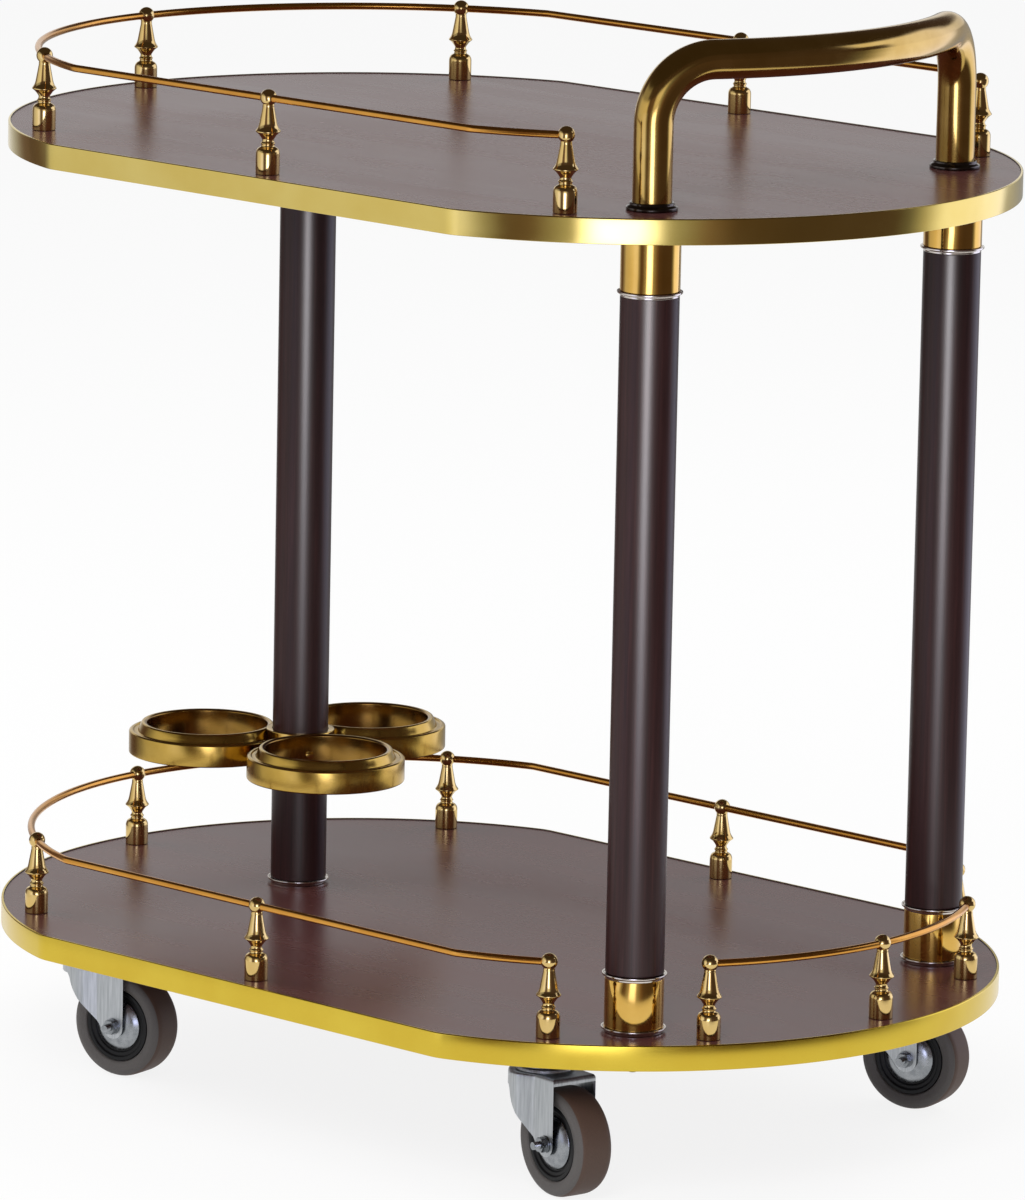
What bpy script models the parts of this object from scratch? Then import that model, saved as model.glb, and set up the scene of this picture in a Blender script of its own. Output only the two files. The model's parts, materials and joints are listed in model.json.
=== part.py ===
"""Bar cart: two oval trays on three posts, with gallery rails on turned spindles, a push handle,
a three-ring bottle holder and four swivel casters.

Metres, +Z up. The origin is on the floor under the middle of the trays, and +X is the handle end.
"""

from math import acos, atan2, ceil, cos, pi, radians, sin, sqrt

import bmesh
import bpy
from mathutils import Matrix, Vector

# Fits: pieces that touch keep the seat gap, and cutters run past what they cut by the overrun
seat_gap = 0.0003
overrun = 0.004

# Trays: ovals with straight sides and round ends, whose arcs are a little flatter than half rounds
tray_length = 0.823
tray_width = 0.555
end_flattening = 0.0126
shoulder_radius = 0.040
tray_spacing = 0.600
board_thickness = 0.018
band_thickness = 0.002
band_lip = 0.0006
band_edge_break = 0.0006

# Posts: wood dowels whose ends are turned down to enter the ferrules and the dish rings
post_radius = 0.0214
left_post_end_inset = 0.2015
right_post_end_inset = 0.1158
right_post_side_inset = 0.1129
sleeve_radius = 0.0217
sleeve_wall = 0.0012
sleeve_length = 0.036
dish_height = 0.0038
dish_lip_radius = 0.0237
dish_lip_edge = 0.0009

# Tie rods, which run through the posts and clamp the trays together
rod_radius = 0.003
rod_tail = 0.0054
rod_engagement = 0.010
nut_radius = 0.0058
nut_height = 0.005
washer_radius = 0.009
washer_thickness = 0.0015

# Push handle: one tube whose feet stand over the right posts and whose grip bows outwards
handle_radius = 0.0143
handle_wall = 0.0012
handle_height = 0.1065
handle_bend_radius = 0.045
handle_splay = radians(28)
plug_height = 0.012
foot_ring_radius = 0.0187
foot_ring_edge = 0.0020
foot_ring_height = 0.0055

# Gallery: rails through the balls of turned spindles, each spindle on a stud
rail_radius = 0.0028
rail_inset = 0.0224
ball_radius = 0.0062
ball_height = 0.0557
spindle_radius = 0.009
stud_radius = 0.002
stud_length = 0.010
end_spindle_angle = radians(57)
front_spindle_angle = radians(32)
spindle_shares = ((1.00, 0.300), (0.56, 0.375), (0.46, 0.450), (1.00, 0.556))
ball_neck_share = 0.68
ball_latitudes = (radians(-15), radians(20), radians(55))

# Bottle holder: a collar clamped on the left post, and three stepped rings screwed to it
holder_height = 0.097
bottle_bore_radius = 0.0466
ring_width = 0.0139
ring_band_height = 0.0175
ring_lip_height = 0.0066
ring_least_wall = 0.0011
collar_wall = 0.0045
ring_screw_radius = 0.0015
ring_screw_head_radius = 0.0032
ring_screw_head_height = 0.0015
clamp_knob_radius = 0.0042
clamp_knob_length = 0.006
ring_directions = (("left", radians(210)), ("front", radians(-30)), ("back", radians(90)))
clamp_direction = radians(30)
ring_profile_shares = (
    (0.00, 0.00),
    (1.00, 0.00),
    (1.00, 0.66),
    (0.88, 0.73),
    (0.40, 0.73),
    (0.30, 1.00),
    (0.00, 1.00),
)

# Casters: wheel, pressed fork, kingpin and race, mounting plate
left_caster_end_inset = 0.1676
left_caster_side_inset = 0.0958
right_caster_end_inset = 0.1814
right_caster_side_inset = 0.0900
caster_headings = (
    ("near_left", -1, -1, radians(10)),
    ("near_right", 1, -1, radians(-11)),
    ("far_left", -1, 1, radians(5)),
    ("far_right", 1, 1, radians(15)),
)
wheel_radius = 0.040
tyre_width = 0.030
tyre_depth = 0.012
tyre_profile_shares = ((0.00, 0.80), (0.35, 1.00), (0.86, 0.90), (1.00, 0.63))
rim_width = 0.026
rim_flange_depth = 0.0045
rim_web_width = 0.0205
guard_radius = 0.0195
guard_profile_shares = ((0.84, 0.62), (0.45, 1.00))
wheel_trail = 0.028
fork_thickness = 0.0022
fork_leg_gap = 0.0333
fork_crown_radius = 0.0265
fork_crown_thickness = 0.0025
fork_shoulder_reach = 0.002
fork_crease_reach = 0.0137
fork_leg_end_radius = 0.0095
fork_lip_height = 0.005
fork_skirt_height = 0.012
fork_front_reach = 0.006
fork_front_height = 0.0225
wheel_headroom = 0.007
axle_radius = 0.003
axle_sleeve_wall = 0.003
axle_nut_radius = 0.0058
axle_nut_height = 0.005
axle_head_height = 0.004
axle_tail = 0.006
race_radius = 0.0235
race_wall = 0.002
race_depth = 0.007
race_ball_radius = 0.002
race_boss_height = 0.0029
kingpin_radius = 0.0055
kingpin_head_radius = 0.0085
kingpin_head_height = 0.003
plate_size = 0.062
plate_thickness = 0.0025
plate_hole_spacing = 0.048
plate_hole_radius = 0.0022

# How finely round shapes are divided
end_steps = 14
shoulder_steps = 2
post_sides = 16
handle_sides = 10
handle_bend_steps = 4
grip_steps = 8
rail_sides = 6
rail_step = radians(11)
spindle_sides = 8
ring_sides = 24
tyre_sides = 18
rim_sides = 14
fork_arc_steps = 8
bolt_sides = 12
hole_sides = 8

# Places worked out from the sizes above
half_width = tray_width / 2
end_radius = half_width + end_flattening
end_centre = tray_length / 2 - end_radius
shoulder_y = half_width - shoulder_radius
shoulder_x = end_centre + sqrt((end_radius - shoulder_radius) ** 2 - shoulder_y ** 2)
shoulder_angle = atan2(shoulder_y, shoulder_x - end_centre)
race_height = race_depth + 2 * race_ball_radius + 2 * seat_gap + race_boss_height
crown_drop = plate_thickness + race_height
caster_height = 2 * wheel_radius + wheel_headroom + fork_crown_thickness + crown_drop
bottom_face = caster_height + board_thickness
top_face = bottom_face + tray_spacing
top_underside = top_face - board_thickness
left_post = Vector((left_post_end_inset - tray_length / 2, 0, 0))
right_post_x = tray_length / 2 - right_post_end_inset
right_post_y = half_width - right_post_side_inset
near_post = Vector((right_post_x, -right_post_y, 0))
far_post = Vector((right_post_x, right_post_y, 0))
tenon_radius = sleeve_radius - sleeve_wall - seat_gap
ferrule_height = sleeve_length + 2 * dish_height
rail_path_radius = end_radius - rail_inset


def clear_scene():
    """Remove every object that the file opened with."""
    for item in list(bpy.data.objects):
        bpy.data.objects.remove(item, do_unlink=True)


def finish(name, colour, roughness, metallic):
    """A Principled material; the colour is linear."""
    surface = bpy.data.materials.new(name)
    surface.use_nodes = True
    shader = surface.node_tree.nodes["Principled BSDF"]
    shader.inputs["Base Color"].default_value = (*colour, 1)
    shader.inputs["Roughness"].default_value = roughness
    shader.inputs["Metallic"].default_value = metallic
    surface.diffuse_color = (*colour, 1)
    return surface


def smooth(mesh):
    """Shade round sides smooth and keep the edges between them sharp."""
    mesh.shade_smooth()
    mesh.set_sharp_from_angle(angle=radians(35))
    return mesh


def mesh_of(shape):
    """Turn a bmesh into a mesh whose faces point outwards."""
    bmesh.ops.recalc_face_normals(shape, faces=shape.faces)
    mesh = bpy.data.meshes.new("shape")
    shape.to_mesh(mesh)
    shape.free()
    return smooth(mesh)


def place(name, mesh, surface, location=(0, 0, 0), turn=0, parent=None):
    """Put a mesh into the scene as a named piece."""
    if not mesh.materials:
        mesh.materials.append(surface)
    piece = bpy.data.objects.new(name, mesh)
    piece.location = location
    piece.rotation_euler = (0, 0, turn)
    piece.parent = parent
    bpy.context.scene.collection.objects.link(piece)


def pivot(name, location, turn=0, parent=None):
    """An empty on a joint's axis, which carries the pieces that move there."""
    empty = bpy.data.objects.new(name, None)
    empty.location = location
    empty.rotation_euler = (0, 0, turn)
    empty.parent = parent
    bpy.context.scene.collection.objects.link(empty)
    return empty


def bore(pin_radius, sides):
    """Corner radius of a faceted hole whose flats clear a pin by the seat gap."""
    return (pin_radius + seat_gap) / cos(pi / sides)


def add_loops(shape, loops, closed):
    """Bridge equal loops of points; a closed run of loops makes a ring, an open one is capped."""
    rows = [[shape.verts.new(point) for point in loop] for loop in loops]
    pairs = list(zip(rows, rows[1:]))
    if closed:
        pairs.append((rows[-1], rows[0]))
    for lower, upper in pairs:
        for i in range(len(lower)):
            j = (i + 1) % len(lower)
            shape.faces.new((lower[i], lower[j], upper[j], upper[i]))
    if not closed:
        shape.faces.new(list(reversed(rows[0])))
        shape.faces.new(rows[-1])


def level_loop(radius, height, sides, phase, hexagonal):
    """A level ring of points; a hexagonal one keeps its corners at the radius."""
    points = []
    for i in range(sides):
        angle = 2 * pi * i / sides
        reach = radius
        if hexagonal:
            reach = radius * cos(pi / 6) / cos(angle % (pi / 3) - pi / 6)
        points.append(Vector((reach * cos(angle + phase), reach * sin(angle + phase), height)))
    return points


def turned(profile, sides, phase=0, closed=False):
    """Revolve (radius, height) rows about Z; a third entry in a row makes that level hexagonal."""
    shape = bmesh.new()
    loops = [level_loop(row[0], row[1], sides, phase, len(row) > 2) for row in profile]
    add_loops(shape, loops, closed)
    return mesh_of(shape)


def prism(outline, low, high):
    """Stand a flat outline of (x, y) points up from one height to another."""
    shape = bmesh.new()
    loops = [[Vector((x, y, height)) for x, y in outline] for height in (low, high)]
    add_loops(shape, loops, False)
    return mesh_of(shape)


def carried(points, sides, radius):
    """Loops of a round section carried along a path without twisting."""
    loops = []
    start = (points[1] - points[0]).normalized()
    normal = Vector((1, 0, 0)) if abs(start.z) > cos(pi / 4) else Vector((0, 0, 1))
    for i, point in enumerate(points):
        before = points[max(i - 1, 0)]
        after = points[min(i + 1, len(points) - 1)]
        along = (after - before).normalized()
        normal = (normal - along * normal.dot(along)).normalized()
        across = along.cross(normal)
        loop = []
        for k in range(sides):
            angle = 2 * pi * k / sides
            loop.append(point + radius * (cos(angle) * normal + sin(angle) * across))
        loops.append(loop)
    return loops


def bar(points, radius, sides):
    """A solid round bar along a path."""
    shape = bmesh.new()
    add_loops(shape, carried(points, sides, radius), False)
    return mesh_of(shape)


def moved(mesh, matrix):
    """A copy of a mesh in another place."""
    copy = mesh.copy()
    copy.transform(matrix)
    return copy


def combined(mesh, tools, operation="DIFFERENCE"):
    """Cut a mesh by tool meshes one after another, or join or intersect it with them."""
    body = bpy.data.objects.new("blank", mesh)
    bpy.context.scene.collection.objects.link(body)
    helpers = []
    for tool in tools:
        helper = bpy.data.objects.new("cutter", tool)
        helper.hide_render = True
        helper.display_type = "WIRE"
        bpy.context.scene.collection.objects.link(helper)
        cut = body.modifiers.new("cut", "BOOLEAN")
        cut.operation = operation
        cut.solver = "EXACT"
        cut.object = helper
        helpers.append(helper)
    depsgraph = bpy.context.evaluated_depsgraph_get()
    result = bpy.data.meshes.new_from_object(body.evaluated_get(depsgraph))
    for item in [body] + helpers:
        bpy.data.objects.remove(item, do_unlink=True)
    return smooth(result)


def polar(distance, angle, height=0):
    return Vector((distance * cos(angle), distance * sin(angle), height))


def arc(centre_x, centre_y, radius, first, last, steps):
    """(x, y) points along an arc, both ends included."""
    points = []
    for i in range(steps + 1):
        angle = first + (last - first) * i / steps
        points.append((centre_x + radius * cos(angle), centre_y + radius * sin(angle)))
    return points


def oval(inset):
    """The tray's outline moved inwards: two end arcs and four shoulder arcs round shared centres."""
    end = end_radius - inset
    shoulder = shoulder_radius - inset
    turn = shoulder_angle
    points = arc(end_centre, 0, end, -turn, turn, end_steps)
    points += arc(shoulder_x, shoulder_y, shoulder, turn, pi / 2, shoulder_steps)[1:]
    points += arc(-shoulder_x, shoulder_y, shoulder, pi / 2, pi - turn, shoulder_steps)
    points += arc(-end_centre, 0, end, pi - turn, pi + turn, end_steps)[1:]
    points += arc(-shoulder_x, -shoulder_y, shoulder, pi + turn, 3 * pi / 2, shoulder_steps)[1:]
    points += arc(shoulder_x, -shoulder_y, shoulder, -pi / 2, -turn, shoulder_steps)[:-1]
    return points


def spindle_places():
    """Spindles round one gallery: (name, x, y, direction of the rail, kind of bore)."""
    r = rail_path_radius
    x = end_centre + r * cos(end_spindle_angle)
    y = r * sin(end_spindle_angle)
    slope = pi / 2 - end_spindle_angle
    side = half_width - rail_inset
    return (
        ("near_right", x, -y, slope, "stop"),
        ("near_middle", 0, -side, 0, "through"),
        ("near_left", -x, -y, -slope, "through"),
        ("left", -end_centre - r, 0, pi / 2, "through"),
        ("far_left", -x, y, slope, "through"),
        ("far_middle", 0, side, 0, "through"),
        ("far_right", x, y, -slope, "stop"),
    )


def front_spindle_places():
    """Spindles of the short rail at the handle end: (x, y, direction of the rail)."""
    places = []
    for side in (-1, 0, 1):
        angle = side * front_spindle_angle
        x = end_centre + rail_path_radius * cos(angle)
        places.append((x, rail_path_radius * sin(angle), angle + pi / 2))
    return places


def rail_arc(side, first, last, marks):
    """Rail points round one end, with a straight run through the ball at each mark."""
    half_run = (ball_radius + seat_gap) / rail_path_radius
    count = max(1, ceil(abs(last - first) / rail_step))
    angles = [first + (last - first) * i / count for i in range(count + 1)]
    angles = [a for a in angles if all(abs(a - mark) > 2 * half_run for mark in marks)]
    low, high = min(first, last), max(first, last)
    for mark in marks:
        angles += [min(max(mark + step * half_run, low), high) for step in (-1, 1)]
    angles.sort(reverse=last < first)
    r = rail_path_radius
    return [(side * (end_centre + r * cos(a)), r * sin(a)) for a in angles]


def gallery_rail_path():
    """From the near end spindle round the left end of the tray to the far end spindle."""
    shoulder = shoulder_radius - rail_inset
    turn = shoulder_angle
    end = end_spindle_angle
    points = rail_arc(1, -end, -turn, (-end,))
    points += arc(shoulder_x, -shoulder_y, shoulder, -turn, -pi / 2, shoulder_steps)[1:]
    points += arc(-shoulder_x, -shoulder_y, shoulder, 3 * pi / 2, pi + turn, shoulder_steps)
    points += rail_arc(-1, -turn, turn, (-end, 0, end))[1:]
    points += arc(-shoulder_x, shoulder_y, shoulder, pi - turn, pi / 2, shoulder_steps)[1:]
    points += arc(shoulder_x, shoulder_y, shoulder, pi / 2, turn, shoulder_steps)
    points += rail_arc(1, turn, end, (end,))[1:]
    return points


def drill(x, y, low, high, radius):
    """A cutter for an upright hole."""
    return bar([Vector((x, y, low)), Vector((x, y, high))], radius, hole_sides)


def build_board(name, face, cutters, surface):
    """A tray panel with its drilled holes."""
    blank = prism(oval(band_thickness + seat_gap), face - board_thickness, face)
    depth = stud_length + seat_gap
    studs = [drill(x, y, face - depth, face + overrun, bore(stud_radius, hole_sides))
             for _, x, y, _, _ in spindle_places()]
    place(name, combined(blank, studs + cutters), surface)


def build_band(name, face, surface):
    """The metal strip round a board, standing a little proud of its top."""
    low = face - board_thickness
    high = face + band_lip
    rows = (
        (band_thickness, low),
        (0, low),
        (0, high - band_edge_break),
        (band_edge_break, high),
        (band_thickness, high),
    )
    shape = bmesh.new()
    loops = [[Vector((x, y, height)) for x, y in oval(inset)] for inset, height in rows]
    add_loops(shape, loops, True)
    place(name, mesh_of(shape), surface)


def build_trays(wood, brass):
    hole = bore(rod_radius, hole_sides)
    posts = (left_post, near_post, far_post)
    cutters = [drill(p.x, p.y, caster_height - overrun, bottom_face + overrun, hole) for p in posts]
    depth = stud_length + seat_gap
    cutters += [drill(x, y, bottom_face - depth, bottom_face + overrun, bore(stud_radius, hole_sides))
                for x, y, _ in front_spindle_places()]
    build_board("bottom_board", bottom_face, cutters, wood)
    build_band("bottom_band", bottom_face, brass)
    low = top_underside - overrun
    cutters = [drill(p.x, p.y, low, top_face + overrun, hole) for p in (near_post, far_post)]
    blind = top_underside + rod_engagement + seat_gap
    cutters.append(drill(left_post.x, left_post.y, low, blind, hole))
    build_board("top_board", top_face, cutters, wood)
    build_band("top_band", top_face, brass)


def post_mesh(tenon_length):
    """A dowel between the trays, bored for its rod and turned down over the tenon at each end."""
    high = tray_spacing - board_thickness - 2 * seat_gap
    hole = bore(rod_radius, post_sides)
    profile = (
        (hole, 0),
        (tenon_radius, 0),
        (tenon_radius, tenon_length),
        (post_radius, tenon_length),
        (post_radius, high - tenon_length),
        (tenon_radius, high - tenon_length),
        (tenon_radius, high),
        (hole, high),
    )
    return turned(profile, post_sides, closed=True)


def dish_rows(start):
    """Outer rows of a flared ring that opens upwards."""
    return (
        (post_radius, start),
        (dish_lip_radius, start + dish_height - dish_lip_edge),
        (dish_lip_radius, start + dish_height),
    )


def ring_mesh():
    inner = tenon_radius + seat_gap
    profile = ((inner, 0),) + dish_rows(0) + ((inner, dish_height),)
    return turned(profile, post_sides, closed=True)


def ferrule_mesh():
    """A sleeve with a flared ring at each end."""
    inner = tenon_radius + seat_gap
    upper = dish_height + sleeve_length
    profile = ((inner, 0),) + dish_rows(0)
    profile += ((sleeve_radius, dish_height), (sleeve_radius, upper))
    profile += dish_rows(upper)[1:] + ((inner, ferrule_height),)
    return turned(profile, post_sides, closed=True)


def build_posts(wood, brass, nickel):
    low = bottom_face + seat_gap
    high = top_underside - seat_gap
    left = post_mesh(dish_height + seat_gap)
    place("left_post", left, wood, left_post + Vector((0, 0, low)))
    ring = ring_mesh()
    place("left_bottom_ring", ring, nickel, left_post + Vector((0, 0, low)))
    place("left_top_ring", ring, nickel, left_post + Vector((0, 0, high - dish_height)))
    right = post_mesh(ferrule_height + seat_gap)
    ferrule = ferrule_mesh()
    for name, foot in (("near", near_post), ("far", far_post)):
        place(name + "_post", right, wood, foot + Vector((0, 0, low)))
        place(name + "_bottom_ferrule", ferrule, brass, foot + Vector((0, 0, low)))
        place(name + "_top_ferrule", ferrule, brass, foot + Vector((0, 0, high - ferrule_height)))


def build_tie_rods(zinc):
    """Rods with the washer and nut that clamp them under the bottom tray."""
    washer_top = caster_height - seat_gap
    nut_top = washer_top - washer_thickness
    nut_low = nut_top - nut_height
    for name, foot, seat in (("left", left_post, top_underside), ("near", near_post, top_face),
                             ("far", far_post, top_face)):
        profile = (
            (rod_radius, nut_low - rod_tail),
            (rod_radius, nut_low),
            (nut_radius, nut_low, "hexagonal"),
            (nut_radius, nut_top, "hexagonal"),
            (washer_radius, nut_top),
            (washer_radius, washer_top),
            (rod_radius, washer_top),
            (rod_radius, seat + rod_engagement),
        )
        place(name + "_tie_rod", turned(profile, bolt_sides), zinc, foot)


def handle_path():
    """Up the near leg, round its bend, along the bowed grip, and down the far leg."""
    foot = top_face + seat_gap
    grip = top_face + handle_height
    bend = handle_bend_radius
    run = Vector((sin(handle_splay), cos(handle_splay), 0))
    leg = Vector((right_post_x, -right_post_y, 0))
    half = [leg + Vector((0, 0, foot)), leg + Vector((0, 0, foot + plug_height))]
    for i in range(handle_bend_steps + 1):
        angle = (pi / 2) * i / handle_bend_steps
        rise = grip - bend + bend * sin(angle)
        half.append(leg + run * bend * (1 - cos(angle)) + Vector((0, 0, rise)))
    bow_radius = -half[-1].y / sin(handle_splay)
    bow_centre = half[-1].x - bow_radius * cos(handle_splay)
    for i in range(1, grip_steps // 2):
        angle = -handle_splay * (1 - 2 * i / grip_steps)
        half.append(Vector((bow_centre, 0, grip)) + polar(bow_radius, angle))
    middle = Vector((bow_centre + bow_radius, 0, grip))
    return half + [middle] + [Vector((p.x, -p.y, p.z)) for p in reversed(half)]


def handle_mesh():
    """A bent tube whose feet are closed by plugs, each bored for a tie rod."""
    path = handle_path()
    outside = carried(path, handle_sides, handle_radius)
    inside = carried(path, handle_sides, handle_radius - handle_wall)[1:-1]
    hole = carried(path, handle_sides, bore(rod_radius, handle_sides))
    shape = bmesh.new()
    loops = outside + [hole[-1], hole[-2]] + inside[::-1] + [hole[1], hole[0]]
    add_loops(shape, loops, True)
    return mesh_of(shape)


def build_handle(brass, dark_nickel):
    place("handle_tube", handle_mesh(), brass)
    inner = bore(handle_radius, post_sides)
    top = foot_ring_height
    ring = turned(((inner, 0), (foot_ring_radius, 0), (foot_ring_radius, foot_ring_edge),
                   (inner, top)), post_sides, closed=True)
    for name, foot in (("near", near_post), ("far", far_post)):
        place(name + "_handle_ring", ring, dark_nickel, foot + Vector((0, 0, top_face + seat_gap)))


def spindle_blank():
    """One turned spindle on its stud: base, waist, flare, cone and ball."""
    profile = [(stud_radius, -stud_length), (stud_radius, seat_gap), (spindle_radius, seat_gap)]
    profile += [(spindle_radius * r, ball_height * h) for r, h in spindle_shares]
    neck = ball_radius * ball_neck_share
    profile.append((neck, ball_height - sqrt(ball_radius ** 2 - neck ** 2)))
    for latitude in ball_latitudes:
        profile.append((ball_radius * cos(latitude), ball_height + ball_radius * sin(latitude)))
    return turned(profile, spindle_sides)


def spindle_mesh(kind):
    """A spindle bored along X; one that holds a rail's end is bored from +X to the middle."""
    reach = ball_radius + overrun
    back = seat_gap if kind == "stop" else reach
    hole = bar([Vector((-back, 0, ball_height)), Vector((reach, 0, ball_height))],
               bore(rail_radius, hole_sides), hole_sides)
    return combined(spindle_blank(), [hole])


def build_galleries(rail_brass, spindle_brass):
    kinds = {kind: spindle_mesh(kind) for kind in ("through", "stop")}
    for tray, face in (("top", top_face), ("bottom", bottom_face)):
        path = [Vector((x, y, face + ball_height)) for x, y in gallery_rail_path()]
        place(tray + "_rail", bar(path, rail_radius, rail_sides), rail_brass)
        for name, x, y, direction, kind in spindle_places():
            turn = direction + pi if kind == "stop" else direction
            place(tray + "_spindle_" + name, kinds[kind], spindle_brass, (x, y, face), turn)
    angle = front_spindle_angle
    path = [Vector((x, y, bottom_face + ball_height))
            for x, y in rail_arc(1, -angle, angle, (-angle, 0, angle))]
    blank = spindle_blank()
    balusters = [moved(blank, Matrix.Translation((x, y, bottom_face)) @ Matrix.Rotation(turn, 4, "Z"))
                 for x, y, turn in front_spindle_places()]
    rail = combined(bar(path, rail_radius, rail_sides), balusters, "UNION")
    place("front_gallery", rail, spindle_brass)


def lying(direction, height):
    """Turn what stands on Z to lie along a plan direction at a height."""
    turn = Matrix.Rotation(direction, 4, "Z")
    return turn @ Matrix.Translation((0, 0, height)) @ Matrix.Rotation(pi / 2, 4, "Y")


def build_bottle_holder(brass):
    """Collar with its screws and clamp knob, and the rings, each cut to seat on the collar."""
    turn = pivot("holder_pivot", left_post + Vector((0, 0, bottom_face + holder_height)))
    height = ring_band_height + ring_lip_height
    inner = bore(post_radius, ring_sides)
    outer = inner + collar_wall
    distance = outer + seat_gap + ring_least_wall + bottle_bore_radius
    root = (inner + outer) / 2
    collar = turned(((inner, 0), (outer, 0), (outer, height), (inner, height)), ring_sides, closed=True)
    middle = ring_band_height / 2
    seat = distance - bottle_bore_radius * cos(pi / ring_sides) + seat_gap
    screw = turned(((ring_screw_radius, root), (ring_screw_radius, seat), (ring_screw_head_radius, seat),
                    (ring_screw_head_radius, seat + ring_screw_head_height)), hole_sides)
    knob = turned(((clamp_knob_radius, root), (clamp_knob_radius, outer + clamp_knob_length)), bolt_sides)
    added = [moved(screw, lying(direction, middle)) for _, direction in ring_directions]
    added.append(moved(knob, lying(clamp_direction, middle)))
    place("holder_collar", combined(collar, added, "UNION"), brass, parent=turn)
    profile = [(bottle_bore_radius + ring_width * r, height * h) for r, h in ring_profile_shares]
    ring = turned(profile, ring_sides, phase=pi / ring_sides, closed=True)
    trim_radius = bore(outer, ring_sides)
    trim = turned(((trim_radius, -overrun), (trim_radius, height + overrun)), ring_sides)
    hole_radius = bore(ring_screw_radius, hole_sides)
    hole = turned(((hole_radius, 0), (hole_radius, distance)), hole_sides)
    for name, direction in ring_directions:
        spot = Matrix.Translation(polar(distance, direction)) @ Matrix.Rotation(direction, 4, "Z")
        cut = combined(moved(ring, spot), [trim, moved(hole, lying(direction, middle))])
        place(name + "_bottle_ring", cut, brass, parent=turn)


def wheel_ring(half, sides):
    """Revolve half a profile of (radius, sideways) rows and its mirror about the axle, Y.

    A flat facet lies straight below the axle.
    """
    profile = list(half) + [(radius, -side) for radius, side in reversed(half)]
    ring = turned(profile, sides, phase=-pi / 2 + pi / sides, closed=True)
    ring.transform(Matrix.Rotation(pi / 2, 4, "X"))
    return ring


def tyre_mesh():
    inner = wheel_radius - tyre_depth
    stretch = 1 / cos(pi / tyre_sides)
    half = [((inner + tyre_depth * depth) * stretch, tyre_width / 2 * side)
            for depth, side in tyre_profile_shares]
    return wheel_ring(half, tyre_sides)


def rim_mesh():
    sleeve = axle_radius + axle_sleeve_wall
    outer = wheel_radius - tyre_depth - seat_gap
    step = outer - rim_flange_depth
    half = ((bore(sleeve, rim_sides), rim_web_width / 2), (step, rim_web_width / 2),
            (step, rim_width / 2), (outer, rim_width / 2))
    return wheel_ring(half, rim_sides)


def axle_mesh():
    """Bolt, nut, sleeve and thread guards of one wheel, turned about Y with the nut at -Y."""
    inner_face = fork_leg_gap / 2 - seat_gap
    leg_face = fork_leg_gap / 2 + fork_thickness + seat_gap
    guard_base = rim_web_width / 2 + seat_gap
    dome = inner_face - guard_base
    guard = [(guard_radius, guard_base)]
    guard += [(guard_radius * r, guard_base + dome * h) for r, h in guard_profile_shares]
    guard.append((axle_radius, inner_face))
    sleeve = axle_radius + axle_sleeve_wall
    nut_end = leg_face + axle_nut_height
    profile = [(axle_radius, -nut_end - axle_tail), (axle_radius, -nut_end)]
    profile += [(axle_nut_radius, -nut_end, "hexagonal"), (axle_nut_radius, -leg_face, "hexagonal")]
    profile.append((axle_radius, -leg_face))
    profile += [(radius, -side) for radius, side in reversed(guard)]
    profile += [(sleeve, -guard_base), (sleeve, guard_base)]
    profile += guard
    profile.append((axle_radius, leg_face))
    profile += [(axle_nut_radius, leg_face, "hexagonal"),
                (axle_nut_radius, leg_face + axle_head_height, "hexagonal")]
    axle = turned(profile, bolt_sides)
    axle.transform(Matrix.Rotation(-pi / 2, 4, "X"))
    return axle


def fork_outline(inset):
    """Plan of the fork: a round crown over the kingpin, sides that draw in, and straight legs."""
    radius = fork_crown_radius - inset
    half = fork_leg_gap / 2 + fork_thickness - inset
    back = wheel_trail + fork_leg_end_radius - inset
    turn = acos(fork_shoulder_reach / radius)
    legs = [(fork_crease_reach, -half), (back, -half), (back, half), (fork_crease_reach, half)]
    return legs + arc(0, 0, radius, turn, 2 * pi - turn, fork_arc_steps)


def fork_side(crown, axle):
    """Side view of what stays of the fork: an upright rear edge, the leg's round end, the skirt."""
    beyond = fork_crown_radius + overrun
    back = wheel_trail + fork_leg_end_radius + overrun
    front = crown - fork_front_height
    corner = Vector((-fork_front_reach - wheel_trail, front - axle))
    tangent = atan2(corner.y, corner.x) + acos(fork_leg_end_radius / corner.length)
    outline = [(back, axle), (back, crown + overrun), (-beyond, crown + overrun),
               (-beyond, crown - fork_skirt_height), (-fork_front_reach, crown - fork_skirt_height),
               (-fork_front_reach, front)]
    return outline + arc(wheel_trail, axle, fork_leg_end_radius, tangent, 2 * pi, fork_arc_steps // 2)


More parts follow.
